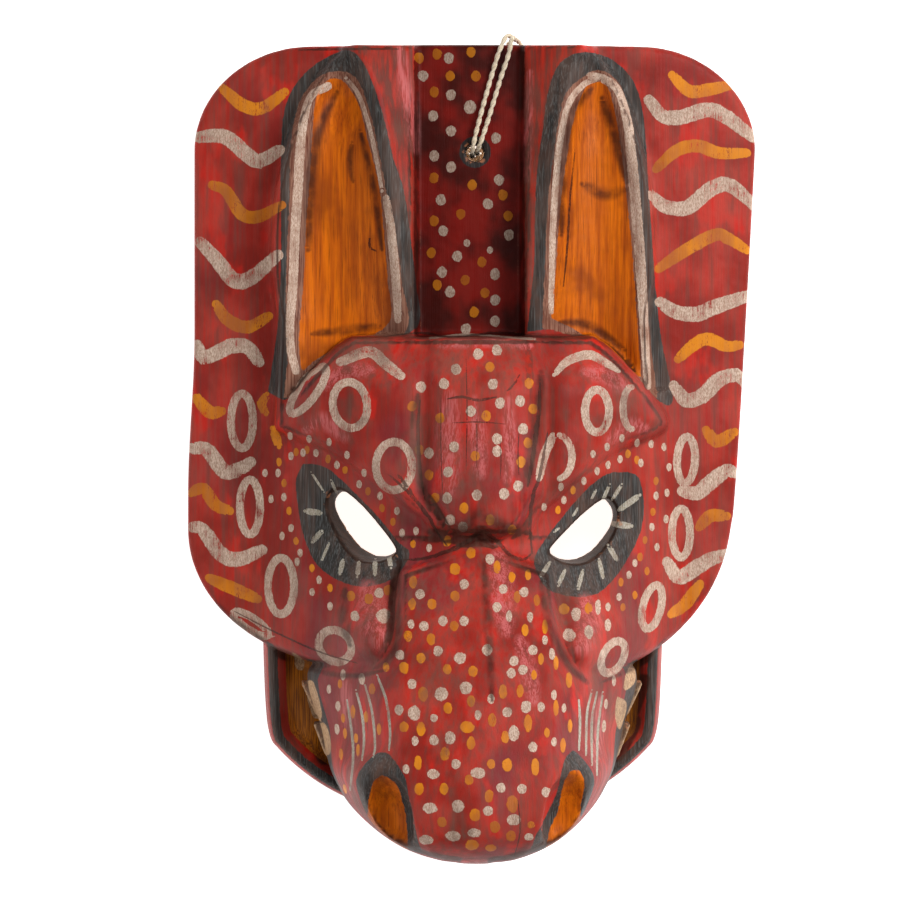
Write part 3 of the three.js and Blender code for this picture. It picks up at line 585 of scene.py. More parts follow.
# The eye holes, the nostrils and the hollow are cut into the block. The holes are long leaves that narrow
# towards the back; the hollow is an arch, a bowl behind the face and a deeper well up into the snout.
eye_length, eye_belly, eye_belly_inside, eye_arch, eye_corner = 29.5, 12.4, 7.4, 2.2, (26.4, -36.6)
eye_slant, right_eye_slant = 46, 41
eye_levels = [14, 36, 52, 80]
nostril_half, nostril_length, nostril_x, nostril_y, nostril_sink = 10, 15, 31.2, tip_y + 19.8, 9.8
nostril_z = float(ridge_height_at(nostril_y)) - nostril_sink
nostril_pitch, nostril_slant = math.radians(17), math.radians(19)
cord_hole_radius = 3.3
rim_width, hollow_tip_y = 10, tip_y + 23.8
face_hollow_half, face_hollow_depth, snout_hollow_half, snout_hollow_depth = 74, 48, 31, 74


def eye_outline(side, slant, belly, arch, grow, short, blunt):
    slant = math.radians(slant)
    along = np.array([-math.cos(slant), math.sin(slant)])
    down = np.array([-math.sin(slant), -math.cos(slant)])
    angle = np.linspace(0, 2 * math.pi, 60, endpoint=False)
    half = (eye_length - short) / 2 + grow
    a = half - half * np.cos(angle) - grow
    lower = (belly + grow) * np.abs(np.sin(angle)) ** np.where(np.cos(angle) < 0, blunt, 1.0)
    b = np.where(angle <= math.pi, lower, (arch + grow) * np.sin(angle))
    x = -eye_corner[0] + along[0] * a + down[0] * b
    y = eye_corner[1] + along[1] * a + down[1] * b
    return np.column_stack([-side * x, y])


# The outlines of the holes on the four levels, from the back to the front
eye_cuts = [
    (0, True, eye_belly_inside - 2, eye_arch + 2), (0, True, eye_belly_inside, eye_arch + 1),
    (0, False, eye_belly, eye_arch), (0.5, False, eye_belly + 1, eye_arch),
]
eye_inside = []
for grow, back, belly, arch in eye_cuts:
    left_fuller, left_short, left_blunt = (0, 1.2, 0.62) if back else (1.5, -4.5, 0.35)
    right_fuller, right_short = (2.4, 2.4) if back else (0.6, -1)
    left = eye_outline(-1, eye_slant, belly + left_fuller, arch, grow, left_short, left_blunt)
    right = eye_outline(1, right_eye_slant, belly + right_fuller, arch - 0.6, grow, right_short, 0.62)
    eye_inside.append(np.maximum(inside_distance(left, 30), inside_distance(right, 30)))


def eye_measure(levels, z):
    """The distance inside the eye holes at any height, between their outlines on the four levels."""
    back, inner, outer, front = eye_levels
    deep = mix(levels[0], levels[1], (z - back) / (inner - back))
    middle = mix(levels[1], levels[2], (z - inner) / (outer - inner))
    shallow = mix(levels[2], levels[3], (z - outer) / (front - outer))
    return np.where(z < inner, deep, np.where(z < outer, middle, shallow))


hollow_lower = [(0, 26), (8, 36), (22, 41), (36, 45), (50, 54), (64, 68), (78, 78)]
hollow_inner = right_x - rim_width
hollow_sides = [(hollow_tip_y + rise, half) for rise, half in hollow_lower]
hollow_sides += [(-20, hollow_inner - right_taper), (20, hollow_inner - 5), (100, hollow_inner - 1.5)]
hollow_half = through(hollow_sides, Y)
well_half = np.minimum(snout_hollow_half, hollow_half * 0.85)
bowl_half = np.minimum(face_hollow_half, hollow_half)
from_tip = Y - hollow_tip_y
arch_cut = (panel_top - panel_wall) * ease((hollow_half - np.abs(X)) / 12) * ease((from_tip + 2) / 16)
bowl_cut = np.clip(1 - (X / bowl_half) ** 2, 0, 1) ** 0.7 * ease((from_tip + 4) / 34) * ease((40 - Y) / 42)
well_cut = np.clip(1 - (X / well_half) ** 2, 0, 1) ** 0.5 * ease((from_tip + 6) / 30) * ease((-30 - Y) / 30)
bowl_cut = face_hollow_depth * bowl_cut
well_cut = snout_hollow_depth * well_cut
hollow_top = smooth_max(smooth_max(arch_cut, bowl_cut, 3), well_cut, 3)
hollow_top = np.where((np.abs(X) < hollow_half) & (from_tip > -2), hollow_top, -2.0)
hollow_top = np.where(hollow_top < 0.5, hollow_top - 3, hollow_top)

# All the cuts of the gouge and the knife are brought together as one measure of wood: above zero in the
# wood, below zero outside it. The surface is drawn where it is zero.
head_top = smooth_max(panel_top, ears_top, 1.2)
head_top = smooth_max(head_top, face_top, 3.0)
head_top = smooth_max(head_top, brow_top, mix(1.0, 4.5, outer_brow))
crease_depth, crease_half = 3.2, 1.7
left_crease = [(-25.3, -39.9), (-26, -53), (-25.7, -65), (-28.4, -72.3), (-32.6, -76.4)]
right_crease = [(23.9, -48.5), (25.6, -57.1), (28.9, -67), (33, -75), (38.1, -81.2)]


def line_distance(places):
    line = smooth_route([(x, y, 0) for x, y in places], 1.0)
    nearest = np.full(X.shape, 1e9)
    for x, y, _ in line:
        nearest = np.minimum(nearest, (X - x) ** 2 + (Y - y) ** 2)
    return np.sqrt(nearest)


over_head = panel_inside > -8
snout_on_head = np.where(lip_inside > -2, snout_top, below_all)
head_top = np.where(over_head & (Y < snout_root_y), smooth_max(head_top, snout_on_head, 2.5), head_top)
crease = np.minimum(line_distance(left_crease), line_distance(right_crease))
head_top = head_top - crease_depth * np.exp(-((crease / crease_half) ** 2))
head_top = soften(head_top, 3)
snout_top = soften(snout_top, 3)
panel_edge_round = 3.0


def steepness(heights):
    down, right = np.gradient(heights, grid_step)
    return np.sqrt(1 + down**2 + right**2)


wood_maps = {
    "head": head_top, "head_steep": steepness(head_top), "panel_inside": panel_inside, "snout": snout_top,
    "snout_steep": steepness(snout_top), "lip_inside": lip_inside, "jaw": jaw_top, "jaw_inside": jaw_inside,
    "mouth_inside": mouth_inside, "teeth_inside": teeth_inside, "hollow": hollow_top,
    "hollow_steep": steepness(soften(hollow_top, 2)),
    "eye_0": eye_inside[0], "eye_1": eye_inside[1], "eye_2": eye_inside[2], "eye_3": eye_inside[3],
}


def at_place(heights, x, y):
    """The value of a map at any place, between the places of the grid."""
    u = np.clip((x - grid_x[0]) / grid_step, 0, len(grid_x) - 1.001)
    v = np.clip((y - grid_y[0]) / grid_step, 0, len(grid_y) - 1.001)
    i, j = u.astype(int), v.astype(int)
    u, v = u - i, v - j
    low = heights[j, i] * (1 - u) + heights[j, i + 1] * u
    high = heights[j + 1, i] * (1 - u) + heights[j + 1, i + 1] * u
    return low * (1 - v) + high * v


def wood(place, x, y, z):
    edge = place["panel_inside"]
    head = smooth_min((place["head"] - z) / place["head_steep"], edge, panel_edge_round * 0.8)
    snout = smooth_min((place["snout"] - z) / place["snout_steep"], place["lip_inside"], 1.6)
    snout = smooth_min(snout, z - snout_base, 1.2)
    under = math.atan2(nose_under_run, nose_under_z - snout_base)
    undercut = (y - tip_y) * math.cos(under) + (z - nose_under_z) * math.sin(under)
    snout = smooth_min(snout, np.where(z < nose_under_z + 4, undercut, undercut + (z - nose_under_z - 4)), 2)
    mouth = np.minimum(np.minimum(place["mouth_inside"], z - mouth_back_z), mouth_front_z - z)
    jaw = smooth_min(place["jaw"] - z, place["jaw_inside"] + 0.6, 1.2)
    teeth = smooth_min(place["teeth_inside"], np.minimum(tooth_high_z - z, z - tooth_low_z), 1.4)
    solid = np.maximum(np.maximum(np.maximum(head, snout), mouth), np.maximum(jaw, teeth))
    solid = np.minimum(solid, z)
    solid = smooth_min(solid, (z - place["hollow"]) / place["hollow_steep"], 0.6)
    solid = smooth_min(solid, -eye_measure([place["eye_" + str(n)] for n in range(len(eye_levels))], z), 1.0)
    for side in (-1, 1):
        dx, dy, dz = x - snout_x - side * nostril_x, y - nostril_y, z - nostril_z
        turned_x = dx * math.cos(nostril_slant) - side * dy * math.sin(nostril_slant)
        turned_y = dy * math.cos(nostril_slant) + side * dx * math.sin(nostril_slant)
        raised_y = turned_y * math.cos(nostril_pitch) + dz * math.sin(nostril_pitch)
        raised_z = dz * math.cos(nostril_pitch) - turned_y * math.sin(nostril_pitch)
        round_share = np.sqrt((turned_x / nostril_half) ** 2 + (raised_y / nostril_length) ** 2
                              + (raised_z / nostril_half) ** 2)
        solid = smooth_min(solid, (round_share - 1) * nostril_half, 1.2)
    hole = np.sqrt((x - cord_hole_x) ** 2 + (y - cord_hole_y) ** 2) - cord_hole_radius
    return smooth_min(solid, hole, 0.5)


cell = 1.43
cell_x = np.arange(-104, 104.1, cell)
cell_y = np.arange(-145, 145.1, cell)
cell_z = np.arange(-cell / 2, 109, cell)
cells_x, cells_y = np.meshgrid(cell_x, cell_y, indexing="ij")
at_cells = {key: at_place(heights, cells_x, cells_y)[:, :, None] for key, heights in wood_maps.items()}
measure = wood(at_cells, cells_x[:, :, None], cells_y[:, :, None], cell_z[None, None, :])


def surface_of(measure):
    """Corners and four-sided faces where the measure is zero, with one corner in each cell it crosses."""
    inside = measure > 0
    nx, ny, nz = inside.shape
    count = np.zeros((nx - 1, ny - 1, nz - 1), np.int8)
    for a in (0, 1):
        for b in (0, 1):
            for c in (0, 1):
                count += inside[a:nx - 1 + a, b:ny - 1 + b, c:nz - 1 + c]
    crossed = (count > 0) & (count < 8)
    i, j, k = np.nonzero(crossed)
    index = np.full(crossed.shape, -1, np.int64)
    index[i, j, k] = np.arange(len(i))
    total = np.zeros((len(i), 3))
    hits = np.zeros(len(i))
    for axis in range(3):
        unit = [0, 0, 0]
        unit[axis] = 1
        others = [n for n in range(3) if n != axis]
        for a in (0, 1):
            for b in (0, 1):
                corner = [0, 0, 0]
                corner[others[0]], corner[others[1]] = a, b
                low = measure[i + corner[0], j + corner[1], k + corner[2]]
                high = measure[i + corner[0] + unit[0], j + corner[1] + unit[1], k + corner[2] + unit[2]]
                hit = (low > 0) != (high > 0)
                share = np.where(hit, low / np.where(hit, low - high, 1), 0)
                for n in range(3):
                    total[:, n] += np.where(hit, corner[n] + unit[n] * share, 0)
                hits += hit
    corners = np.column_stack([i, j, k]) + total / hits[:, None]
    faces = []
    for axis in range(3):
        low = np.take(inside, range(inside.shape[axis] - 1), axis)
        high = np.take(inside, range(1, inside.shape[axis]), axis)
        at = np.nonzero(low != high)
        leaving = low[at]
        at = np.array(at)
        others = [n for n in range(3) if n != axis]
        kept = (at[others[0]] > 0) & (at[others[1]] > 0)
        kept &= (at[others[0]] < inside.shape[others[0]] - 1) & (at[others[1]] < inside.shape[others[1]] - 1)
        at, leaving = at[:, kept], leaving[kept]
        ring = []
        for a, b in ((1, 1), (0, 1), (0, 0), (1, 0)):
            cell_at = at.copy()
            cell_at[others[0]] -= a
            cell_at[others[1]] -= b
            ring.append(index[tuple(cell_at)])
        ring = np.column_stack(ring)
        flip = leaving if axis != 1 else ~leaving
        faces.append(np.where(flip[:, None], ring, ring[:, ::-1]))
    return corners, np.vstack(faces)


corners, faces = surface_of(measure)
corners = np.column_stack([cell_x[0], cell_y[0], cell_z[0]]) + corners * cell


def wood_at(points):
    x, y, z = points.T
    return wood({key: at_place(heights, x, y) for key, heights in wood_maps.items()}, x, y, z)


def slope_of_wood(points, reach=0.35):
    slopes = []
    for n in range(3):
        step = np.zeros(3)
        step[n] = reach
        slopes.append((wood_at(points + step) - wood_at(points - step)) / (2 * reach))
    return np.column_stack(slopes)


for _ in range(2):
    slope = slope_of_wood(corners)
    move = -wood_at(corners)[:, None] * slope / np.maximum((slope**2).sum(1), 0.05)[:, None]
    size = np.linalg.norm(move, axis=1)[:, None]
    corners += move * np.minimum(1, 0.6 * cell / np.maximum(size, 1e-9))
corners[:, 2] = np.maximum(corners[:, 2], 0)

mask_mesh = bpy.data.meshes.new("carved_mask")
mask_mesh.from_pydata(corners * millimetre, [], faces)
mask_mesh.shade_smooth()
mask = bpy.data.objects.new("carved_mask", mask_mesh)
bpy.context.collection.objects.link(mask)

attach(mask, "root")
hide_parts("mask")

# The painter's marks, and the strokes of painted shade and painted highlight. Each is given where the
# photograph shows it, in the photograph's pixels, with its half width and half height. It is brought onto the
# wood along the camera's line of sight.
front_top = np.where(panel_inside > 0, head_top, below_all)
front_top = np.maximum(front_top, np.where(lip_inside > 0, snout_top, below_all))
front_top = np.maximum(front_top, np.where(jaw_inside > 0, jaw_top, 0))
normals = -slope_of_wood(corners)
normals /= np.maximum(np.linalg.norm(normals, axis=1), 1e-6)[:, None]
face_middles = corners[faces].mean(1)
face_normals = normals[faces].mean(1)
front_faces = np.nonzero(face_normals[:, 2] > 0.05)[0]


def pixel_size(z):
    return (camera_z / millimetre - z) / lens_pixels


def on_wood(points):
    """Places on the wood, in millimetres, that the photograph shows at these pixels."""
    points = np.array(points, float)
    z = np.full(len(points), 40.0)
    for _ in range(12):
        x = (points[:, 0] - picture_pixels / 2) * pixel_size(z) + camera_x / millimetre
        y = (picture_pixels / 2 - points[:, 1]) * pixel_size(z) + camera_y / millimetre
        z = (z + at_place(front_top, x, y)) / 2
    return np.column_stack([x, y, z])


def dots(places, half_width, half_height):
    """Round touches of the brush. A place may carry a half width and height of its own."""
    marks = []
    for place in places:
        wide, high = place[2:] if len(place) == 4 else (half_width, half_height)
        at = on_wood([place[:2]])[0]
        size = pixel_size(at[2])
        marks.append([*at, 1 / (wide * size), 0, 0, 1 / (high * size)])
    return marks


def stroke(places, half_width, taper=0.25, closed=False):
    """One pull of the brush through the places, a little thinner at its two ends."""
    places = [(x, y, 0) for x, y in places]
    if closed:
        line = smooth_route(places + places[:1], 2.5)[:, :2]
    else:
        line = smooth_route(places, 2.5)[:, :2]
    at = on_wood(line)
    heading = np.gradient(line, axis=0) * (1, -1)
    heading /= np.maximum(np.linalg.norm(heading, axis=1), 1e-9)[:, None]
    share = np.linspace(0, 1, len(line))
    thin = 1 - taper * (1 - np.sin(math.pi * share) ** 0.6) * (0 if closed else 1)
    half = half_width * thin * pixel_size(at[:, 2])
    end = np.zeros(len(line))
    if not closed:
        end[0] = end[-1] = 1
    return [[*at[i], -heading[i, 1] / half[i], heading[i, 0] / half[i],
             end[i] * heading[i, 0] / half[i], end[i] * heading[i, 1] / half[i]] for i in range(len(line))]


def ring(middle, half_width, half_height, brush=4.3, tilt=0, start=0, stop=360):
    """A painted ring, or a part of one, drawn with the brush's half width."""
    angle = np.radians(np.linspace(start, stop, 22 if stop - start == 360 else 12))
    if stop - start == 360:
        angle = angle[:-1]
    x, y = half_width * np.cos(angle), half_height * np.sin(angle)
    c, s = math.cos(math.radians(tilt)), math.sin(math.radians(tilt))
    places = np.column_stack([middle[0] + x * c + y * s, middle[1] - x * s + y * c])
    return stroke([tuple(p) for p in places], brush, closed=stop - start == 360)


far_off, mark_reach, depth_share = 9.0, 9, 0.3


def lay_paint(label, marks, step_limit):
    """Gives each corner of each face its place on the nearest mark, in half widths of that mark."""
    marks = np.array(marks, float)
    tree = kdtree.KDTree(len(marks))
    for n, mark in enumerate(marks):
        tree.insert((mark[0], mark[1], mark[2] * depth_share), n)
    tree.balance()
    values = np.full((len(faces), 4, 3), far_off)
    nearest = np.zeros(len(front_faces), int)
    gaps = np.zeros(len(front_faces))
    for n, (x, y, z) in enumerate(face_middles[front_faces] * (1, 1, depth_share)):
        _, nearest[n], gaps[n] = tree.find((x, y, z))
    marked_z = marks[nearest, 2]
    close = (gaps < mark_reach) & (np.abs(face_middles[front_faces][:, 2] - marked_z) < step_limit)
    at, chosen = front_faces[close], marks[nearest[close]]
    away = corners[faces[at]][:, :, :2] - chosen[:, None, :2]
    values[at, :, 0] = away[:, :, 0] * chosen[:, None, 3] + away[:, :, 1] * chosen[:, None, 4]
    values[at, :, 1] = away[:, :, 0] * chosen[:, None, 5] + away[:, :, 1] * chosen[:, None, 6]
    values[at, :, 2] = 0
    attribute = mask_mesh.attributes.new(label, "FLOAT_VECTOR", "CORNER")
    attribute.data.foreach_set("vector", values.astype(np.float32).ravel())


# The panel: wavy strokes in off-white and amber from the ears to the edges, and rings down both sides of the
# face
white_wave_half, amber_wave_half = 8.0, 6.8
white_waves = [
    [(198, 137), (225, 137), (251, 158), (262, 160), (280, 150)],
    [(200, 242), (216, 259), (234, 280), (251, 278), (278, 255)],
    [(197, 345), (205, 357), (232, 346), (248, 348), (259, 362)],
    [(192, 448), (207, 450), (223, 470), (235, 471), (251, 462)],
    [(193, 527), (203, 530), (221, 554), (239, 559), (262, 550)],
    [(649, 100), (663, 116), (681, 117), (708, 110), (726, 117), (753, 137)],
    [(651, 196), (667, 207), (688, 207), (711, 189), (729, 185), (752, 203)],
    [(660, 302), (676, 312), (697, 314), (715, 307), (747, 296)],
    [(674, 386), (686, 400), (702, 396), (719, 380), (735, 375), (743, 380)],
    [(682, 491), (697, 493), (711, 482), (726, 471), (735, 473)],
    [(667, 562), (679, 577), (699, 566), (711, 559), (726, 555)],
]
amber_waves = [
    [(222, 88), (243, 105), (262, 108), (285, 92)],
    [(212, 185), (226, 191), (242, 214), (260, 216), (282, 205)],
    [(216, 304), (228, 320), (248, 327), (269, 316)],
    [(196, 398), (210, 412), (222, 411)],
    [(191, 493), (203, 489), (216, 505), (230, 511)],
    [(209, 578), (232, 588), (258, 599)],
    [(672, 75), (690, 91), (711, 89), (731, 85)],
    [(656, 169), (676, 151), (697, 146), (720, 153), (747, 153)],
    [(658, 269), (686, 250), (715, 235), (729, 239), (747, 250)],
    [(678, 359), (694, 345), (708, 339), (726, 346), (740, 345)],
    [(706, 430), (717, 441), (735, 432)],
    [(699, 527), (711, 516), (727, 516)],
    [(671, 614), (685, 604), (700, 584)],
]
worn_patches = [[(267, 394), (262, 404), (266, 414)], [(272, 428), (276, 437), (279, 447)]]
white_lines = [mark for wave in white_waves for mark in stroke(wave, white_wave_half, 0.3)]
amber_lines = [mark for wave in amber_waves for mark in stroke(wave, amber_wave_half, 0.35)]
amber_lines += [mark for patch in worn_patches for mark in stroke(patch, 5.0, 0.5)]
for middle, half_width, half_height, tilt in (
    ((242, 421), 11, 27, 0), ((250, 507), 10, 27, 0), ((281, 586), 13, 28, 0), ((251, 624), 20, 6, -33),
    ((335, 646), 17, 15, -40), ((350, 405), 17, 23, 8), ((394, 466), 18, 24, 0), ((597, 411), 12, 21, 0),
    ((686, 460), 9, 23, -3), ((681, 533), 9, 24, 0), ((652, 607), 9, 22, -14), ((613, 657), 10, 17, -28),
):
    white_lines += ring(middle, half_width, half_height, tilt=tilt)
white_lines += ring((308, 390), 9, 28, 4.3, -36)
white_lines += stroke([(430, 338), (470, 335), (535, 339)], 1.8)
white_lines += ring((632, 408), 9, 21, 4.0, 0, 90, 270)
white_lines += ring((557, 457), 15, 22, 4.0, 0, -80, 80)
white_lines += stroke([(553, 436), (544, 456), (539, 478)], 5.0)
white_lines += stroke([(340, 362), (369, 352), (387, 365), (401, 376)], 6.0)
white_lines += stroke([(554, 375), (568, 361), (589, 355), (606, 363), (619, 371)], 5.0, 0.6)

# The ears: pale lines inside the black rims, double on the outer side of the left ear
white_lines += stroke([(328, 86), (311, 96), (304, 118), (300, 150), (298, 190), (295, 234), (293, 283),
                       (290, 322), (291, 350), (296, 371)], 5.0, 0.2)
white_lines += stroke([(346, 78), (358, 94), (368, 122), (376, 157), (382, 191)], 2.4)
white_lines += stroke([(386, 198), (390, 222), (393, 250), (396, 283), (398, 320)], 4.8)
white_lines += stroke([(551, 312), (552, 270), (553, 230), (556, 180), (560, 142), (568, 106), (582, 86),
                       (598, 78)], 3.6)
white_lines += stroke([(590, 76), (606, 80), (619, 92), (628, 124), (633, 172), (637, 222), (641, 273),
                       (644, 320), (646, 355), (648, 386)], 5.6, 0.3)

# The dots: off-white and amber by turns, in loose rows on the channel, the forehead and the snout, and in
# close rows round the eyes
white_dots = dots([
    (449, 58), (423, 76), (451, 95), (470, 107, 6.5, 7), (433, 116), (451, 131), (496, 138), (434, 156),
    (451, 167), (499, 180), (441, 200), (488, 204), (443, 231), (509, 235), (467, 243, 3.5, 4), (457, 256),
    (490, 250, 3.5, 4), (442, 272), (495, 274), (450, 292), (495, 300), (495, 321), (466, 329), (497, 350),
    (478, 354), (456, 369), (444, 384), (421, 387), (493, 384), (471, 411), (500, 403), (520, 401),
    (523, 429), (454, 447), (429, 453), (497, 439), (497, 451), (448, 472), (518, 486), (477, 495),
    (504, 494), (447, 498), (450, 520), (463, 527),
], 5.2, 5.8)
amber_dots = dots([
    (419, 58), (437, 54), (471, 52), (450, 76), (476, 76), (434, 92), (434, 178), (472, 185), (503, 195),
    (461, 214), (434, 221), (508, 216), (431, 253), (482, 262), (465, 280), (437, 285), (485, 293),
    (474, 312), (490, 367), (529, 383), (412, 406), (486, 416), (440, 418), (533, 409), (419, 450),
    (475, 456), (528, 443), (429, 475), (435, 498), (464, 508), (447, 541), (471, 553), (521, 462),
    (512, 530), (490, 520),
], 4.8, 5.6)
white_dots += dots([
    (290, 436), (309, 439), (329, 442), (291, 456), (303, 453), (316, 453), (347, 455), (337, 465),
    (364, 473), (359, 484), (380, 496), (397, 511), (402, 533), (416, 531), (429, 548), (265, 473),
    (278, 473), (284, 497), (271, 499), (291, 528), (282, 536), (300, 553), (297, 562), (312, 592),
    (319, 580), (330, 606), (607, 447), (622, 438), (593, 454), (637, 443), (651, 444), (664, 447),
    (620, 459), (608, 465), (597, 471), (584, 481), (564, 500), (544, 507), (561, 487), (641, 463),
    (669, 467), (656, 496), (667, 493), (666, 519), (652, 527), (657, 547), (635, 563), (629, 575),
    (619, 597), (608, 607), (598, 604),
], 2.9, 4.3)
amber_dots += dots([
    (296, 452), (307, 450), (328, 459), (345, 470), (368, 491), (382, 508), (393, 522), (413, 544),
    (279, 462), (284, 483), (289, 511), (296, 541), (312, 568), (330, 588), (628, 454), (573, 490),
    (558, 510), (637, 460), (656, 481), (653, 512), (645, 540), (640, 557), (647, 571), (621, 582),
    (635, 595), (623, 607), (590, 608),
], 2.9, 4.3)
white_dots += dots([
    (379, 593), (355, 616), (383, 616, 7.5, 7), (464, 584), (420, 594), (411, 624, 3.4, 5), (464, 621),
    (443, 621), (424, 626), (490, 559), (503, 589), (524, 592), (497, 607), (509, 616, 3.4, 5.5),
    (530, 617, 3.2, 5.5), (545, 640, 3, 5), (533, 650), (487, 650, 5.5, 6), (514, 661), (511, 673),
    (523, 670), (400, 655), (460, 658, 6.5, 6), (438, 651), (412, 684), (441, 694, 7, 7),
    (466, 688, 6.5, 6.5), (399, 710), (414, 713, 6.5, 7.5), (434, 718, 4, 4), (491, 699, 4, 5),
    (526, 707, 5.5, 6.5), (507, 712), (541, 707, 4, 5), (554, 695, 3, 5), (478, 715, 3.5, 5),
    (450, 738, 5.5, 6.5), (434, 740), (415, 741, 3.5, 5), (514, 733, 5.5, 8), (533, 747), (554, 742, 3, 4.5),
    (456, 764), (406, 769, 3.5, 5), (433, 774, 6.5, 5), (478, 773, 7.5, 5.5), (501, 788), (522, 789),
    (546, 792), (458, 806, 6.5, 6.5), (430, 808, 7.5, 5.5), (488, 811, 5.5, 5), (514, 820, 7, 6),
    (474, 833, 6.5, 5), (453, 836, 8, 5.5), (426, 840, 7.5, 5.5), (529, 837, 5, 4), (504, 851, 6, 3.5),
    (430, 851, 5, 2.5), (343, 675, 3, 5.5), (329, 689, 2.6, 5), (338, 706, 2.8, 5.5), (337, 729, 2.8, 5.5),
    (362, 679, 3.6, 6), (564, 708, 2.6, 4.5), (606, 704, 2.2, 5.5), (604, 726, 2.4, 7), (614, 681, 2.2, 6),
    (552, 654, 3.2, 6), (569, 635, 6.5, 6.5), (589, 632, 4.8, 7), (608, 625, 3.6, 6.5), (598, 607, 3, 8),
    (576, 614, 5, 7),
], 4.8, 5.2)
amber_dots += dots([
    (351, 596), (369, 599), (388, 590), (413, 582, 4, 6.5), (455, 569, 5.5, 6), (455, 596), (412, 604, 4, 6),
    (432, 604), (454, 626), (408, 636, 4.5, 5.5), (497, 567, 3.5, 7), (512, 577, 3.5, 5.5),
    (528, 575, 3, 5.5), (517, 597, 3.5, 6), (537, 600, 3.5, 6), (525, 630, 3.6, 6), (545, 627, 3, 7),
    (556, 663, 2.8, 7), (541, 659, 3, 6), (534, 675, 3, 5), (404, 668, 5, 6), (447, 669, 4.2, 5.5),
    (473, 671, 5, 5.5), (421, 658), (423, 694, 5, 7.5), (448, 708, 4.5, 6), (503, 692, 4.2, 7.5),
    (520, 691, 3.6, 6.5), (471, 701, 4, 6), (556, 708, 3, 8), (492, 720, 4.5, 7), (421, 729, 4.5, 7),
    (467, 727, 7.5, 6), (471, 743, 4.5, 6.5), (445, 754, 5, 7), (505, 737, 4, 6.5), (528, 723, 4.2, 9),
    (547, 733, 3, 5), (563, 745, 3, 7.5), (418, 763, 4, 7), (491, 764, 4.5, 5), (507, 765, 5, 7),
    (535, 767, 4.2, 8.5), (469, 780), (444, 789, 4.5, 6), (419, 789, 5, 6.5), (489, 796, 4.5, 6.5),
    (512, 804, 6, 9), (475, 815, 5.5, 6.5), (495, 827, 5.5, 6.5), (442, 822, 5, 5.5), (531, 825, 4, 4),
    (511, 836, 5.2, 6), (472, 845, 7, 6), (447, 850, 6, 4), (519, 848, 5.5, 3.5), (491, 848, 6, 4),
    (340, 684, 2.4, 5), (353, 712, 2.6, 7.5), (343, 718, 2.2, 5), (345, 733, 2.2, 5.5), (372, 689, 3.4, 5.5),
    (366, 717, 2.6, 6), (379, 729, 2.4, 6), (356, 738, 2.4, 5), (341, 754, 2.4, 5.5), (358, 750, 2, 6),
    (345, 789, 2.4, 6.5), (386, 667, 3.4, 5), (404, 727, 4.5, 5.5), (569, 680, 3.4, 8), (570, 726, 2.6, 6.5),
    (589, 608, 4.6, 6), (564, 609, 5.5, 5.5), (431, 639, 4.5, 6),
], 4.6, 5.2)

# Thin strokes: lashes on the black round each eye, and whiskers on both sides of the snout
grey_lines = []
for places, half in (
    ([(311, 472), (324, 492)], 1.3), ([(331, 480), (337, 494)], 1.6), ([(305, 511), (321, 513)], 3.4),
    ([(322, 531), (312, 542)], 3.0), ([(329, 543), (322, 560)], 1.6), ([(343, 560), (340, 574)], 2.8),
    ([(359, 562), (357, 577)], 2.6), ([(375, 559), (375, 575)], 2.6), ([(389, 556), (391, 568)], 2.6),
    ([(610, 484), (602, 502)], 2.0), ([(622, 484), (612, 500)], 2.2), ([(640, 495), (619, 510)], 3.4),
    ([(632, 526), (613, 524)], 3.6), ([(608, 545), (617, 560)], 2.8), ([(599, 559), (603, 578)], 2.4),
    ([(583, 570), (578, 589)], 2.4), ([(565, 570), (558, 586)], 2.4), ([(550, 562), (541, 576)], 2.4),
    ([(596, 490), (592, 498)], 1.5), ([(578, 508), (573, 516)], 1.5), ([(559, 528), (554, 532)], 1.5),
):
    grey_lines += stroke([places[0], ((places[0][0] + places[1][0]) / 2, (places[0][1] + places[1][1]) / 2),
                          places[1]], half, 0.5)
for places in (
    [(347, 700), (352, 735), (353, 760), (350, 790)], [(356, 690), (362, 715), (364, 740), (362, 760)],
    [(365, 685), (372, 712), (375, 745), (373, 757)], [(377, 675), (386, 700), (390, 730), (389, 750)],
    [(579, 700), (580, 725), (579, 750)],
    [(592, 690), (587, 715), (586, 755)],
    [(597, 692), (592, 720), (592, 765)],
    [(603, 692), (598, 730), (597, 775)],
):
    grey_lines += stroke(places, 1.5, 0.4)

# Cracks, drawn in with a dark glaze, and painted shade along the grooves and creases between the forms, such
# as the V under the brow
crack_and_groove_shade_lines = []
for places, half in (
    ([(446, 399), (462, 397), (478, 400), (497, 397)], 1.5), ([(506, 392), (514, 384), (520, 374)], 1.1),
    ([(380, 337), (420, 333), (452, 337), (500, 333), (545, 337), (590, 335)], 1.6),
    ([(402, 560), (426, 558), (453, 549), (468, 541), (482, 532), (497, 541), (510, 555), (524, 559),
      (533, 552)], 2.4),
    ([(448, 547), (436, 530), (426, 513), (406, 490), (388, 474)], 2.0),
    ([(532, 554), (530, 524), (533, 496), (540, 474), (548, 430)], 2.0),
    ([(519, 431), (518, 455), (519, 477)], 0.7), ([(466, 357), (467, 410), (466, 472)], 0.7),
    ([(450, 423), (478, 422), (505, 424)], 0.7), ([(398, 475), (406, 486), (416, 500)], 2.2),
    ([(575, 150), (570, 200), (567, 250), (563, 290)], 1.2),
    ([(540, 380), (539, 410), (534, 450), (527, 490)], 2.6),
    ([(420, 400), (418, 430), (420, 470), (425, 500)], 2.0), ([(295, 50), (340, 49), (400, 49)], 1.4),
    ([(370, 236), (370, 247), (378, 252)], 1.3), ([(518, 800), (520, 830), (516, 852)], 0.8),
    ([(441, 396), (441, 450), (443, 500)], 0.6), ([(476, 400), (477, 440), (476, 470)], 0.5),
    ([(232, 610), (275, 632), (320, 652), (360, 664)], 1.0), ([(500, 440), (501, 460), (500, 480)], 0.6),
):
    crack_and_groove_shade_lines += stroke(places, half, 0.8)
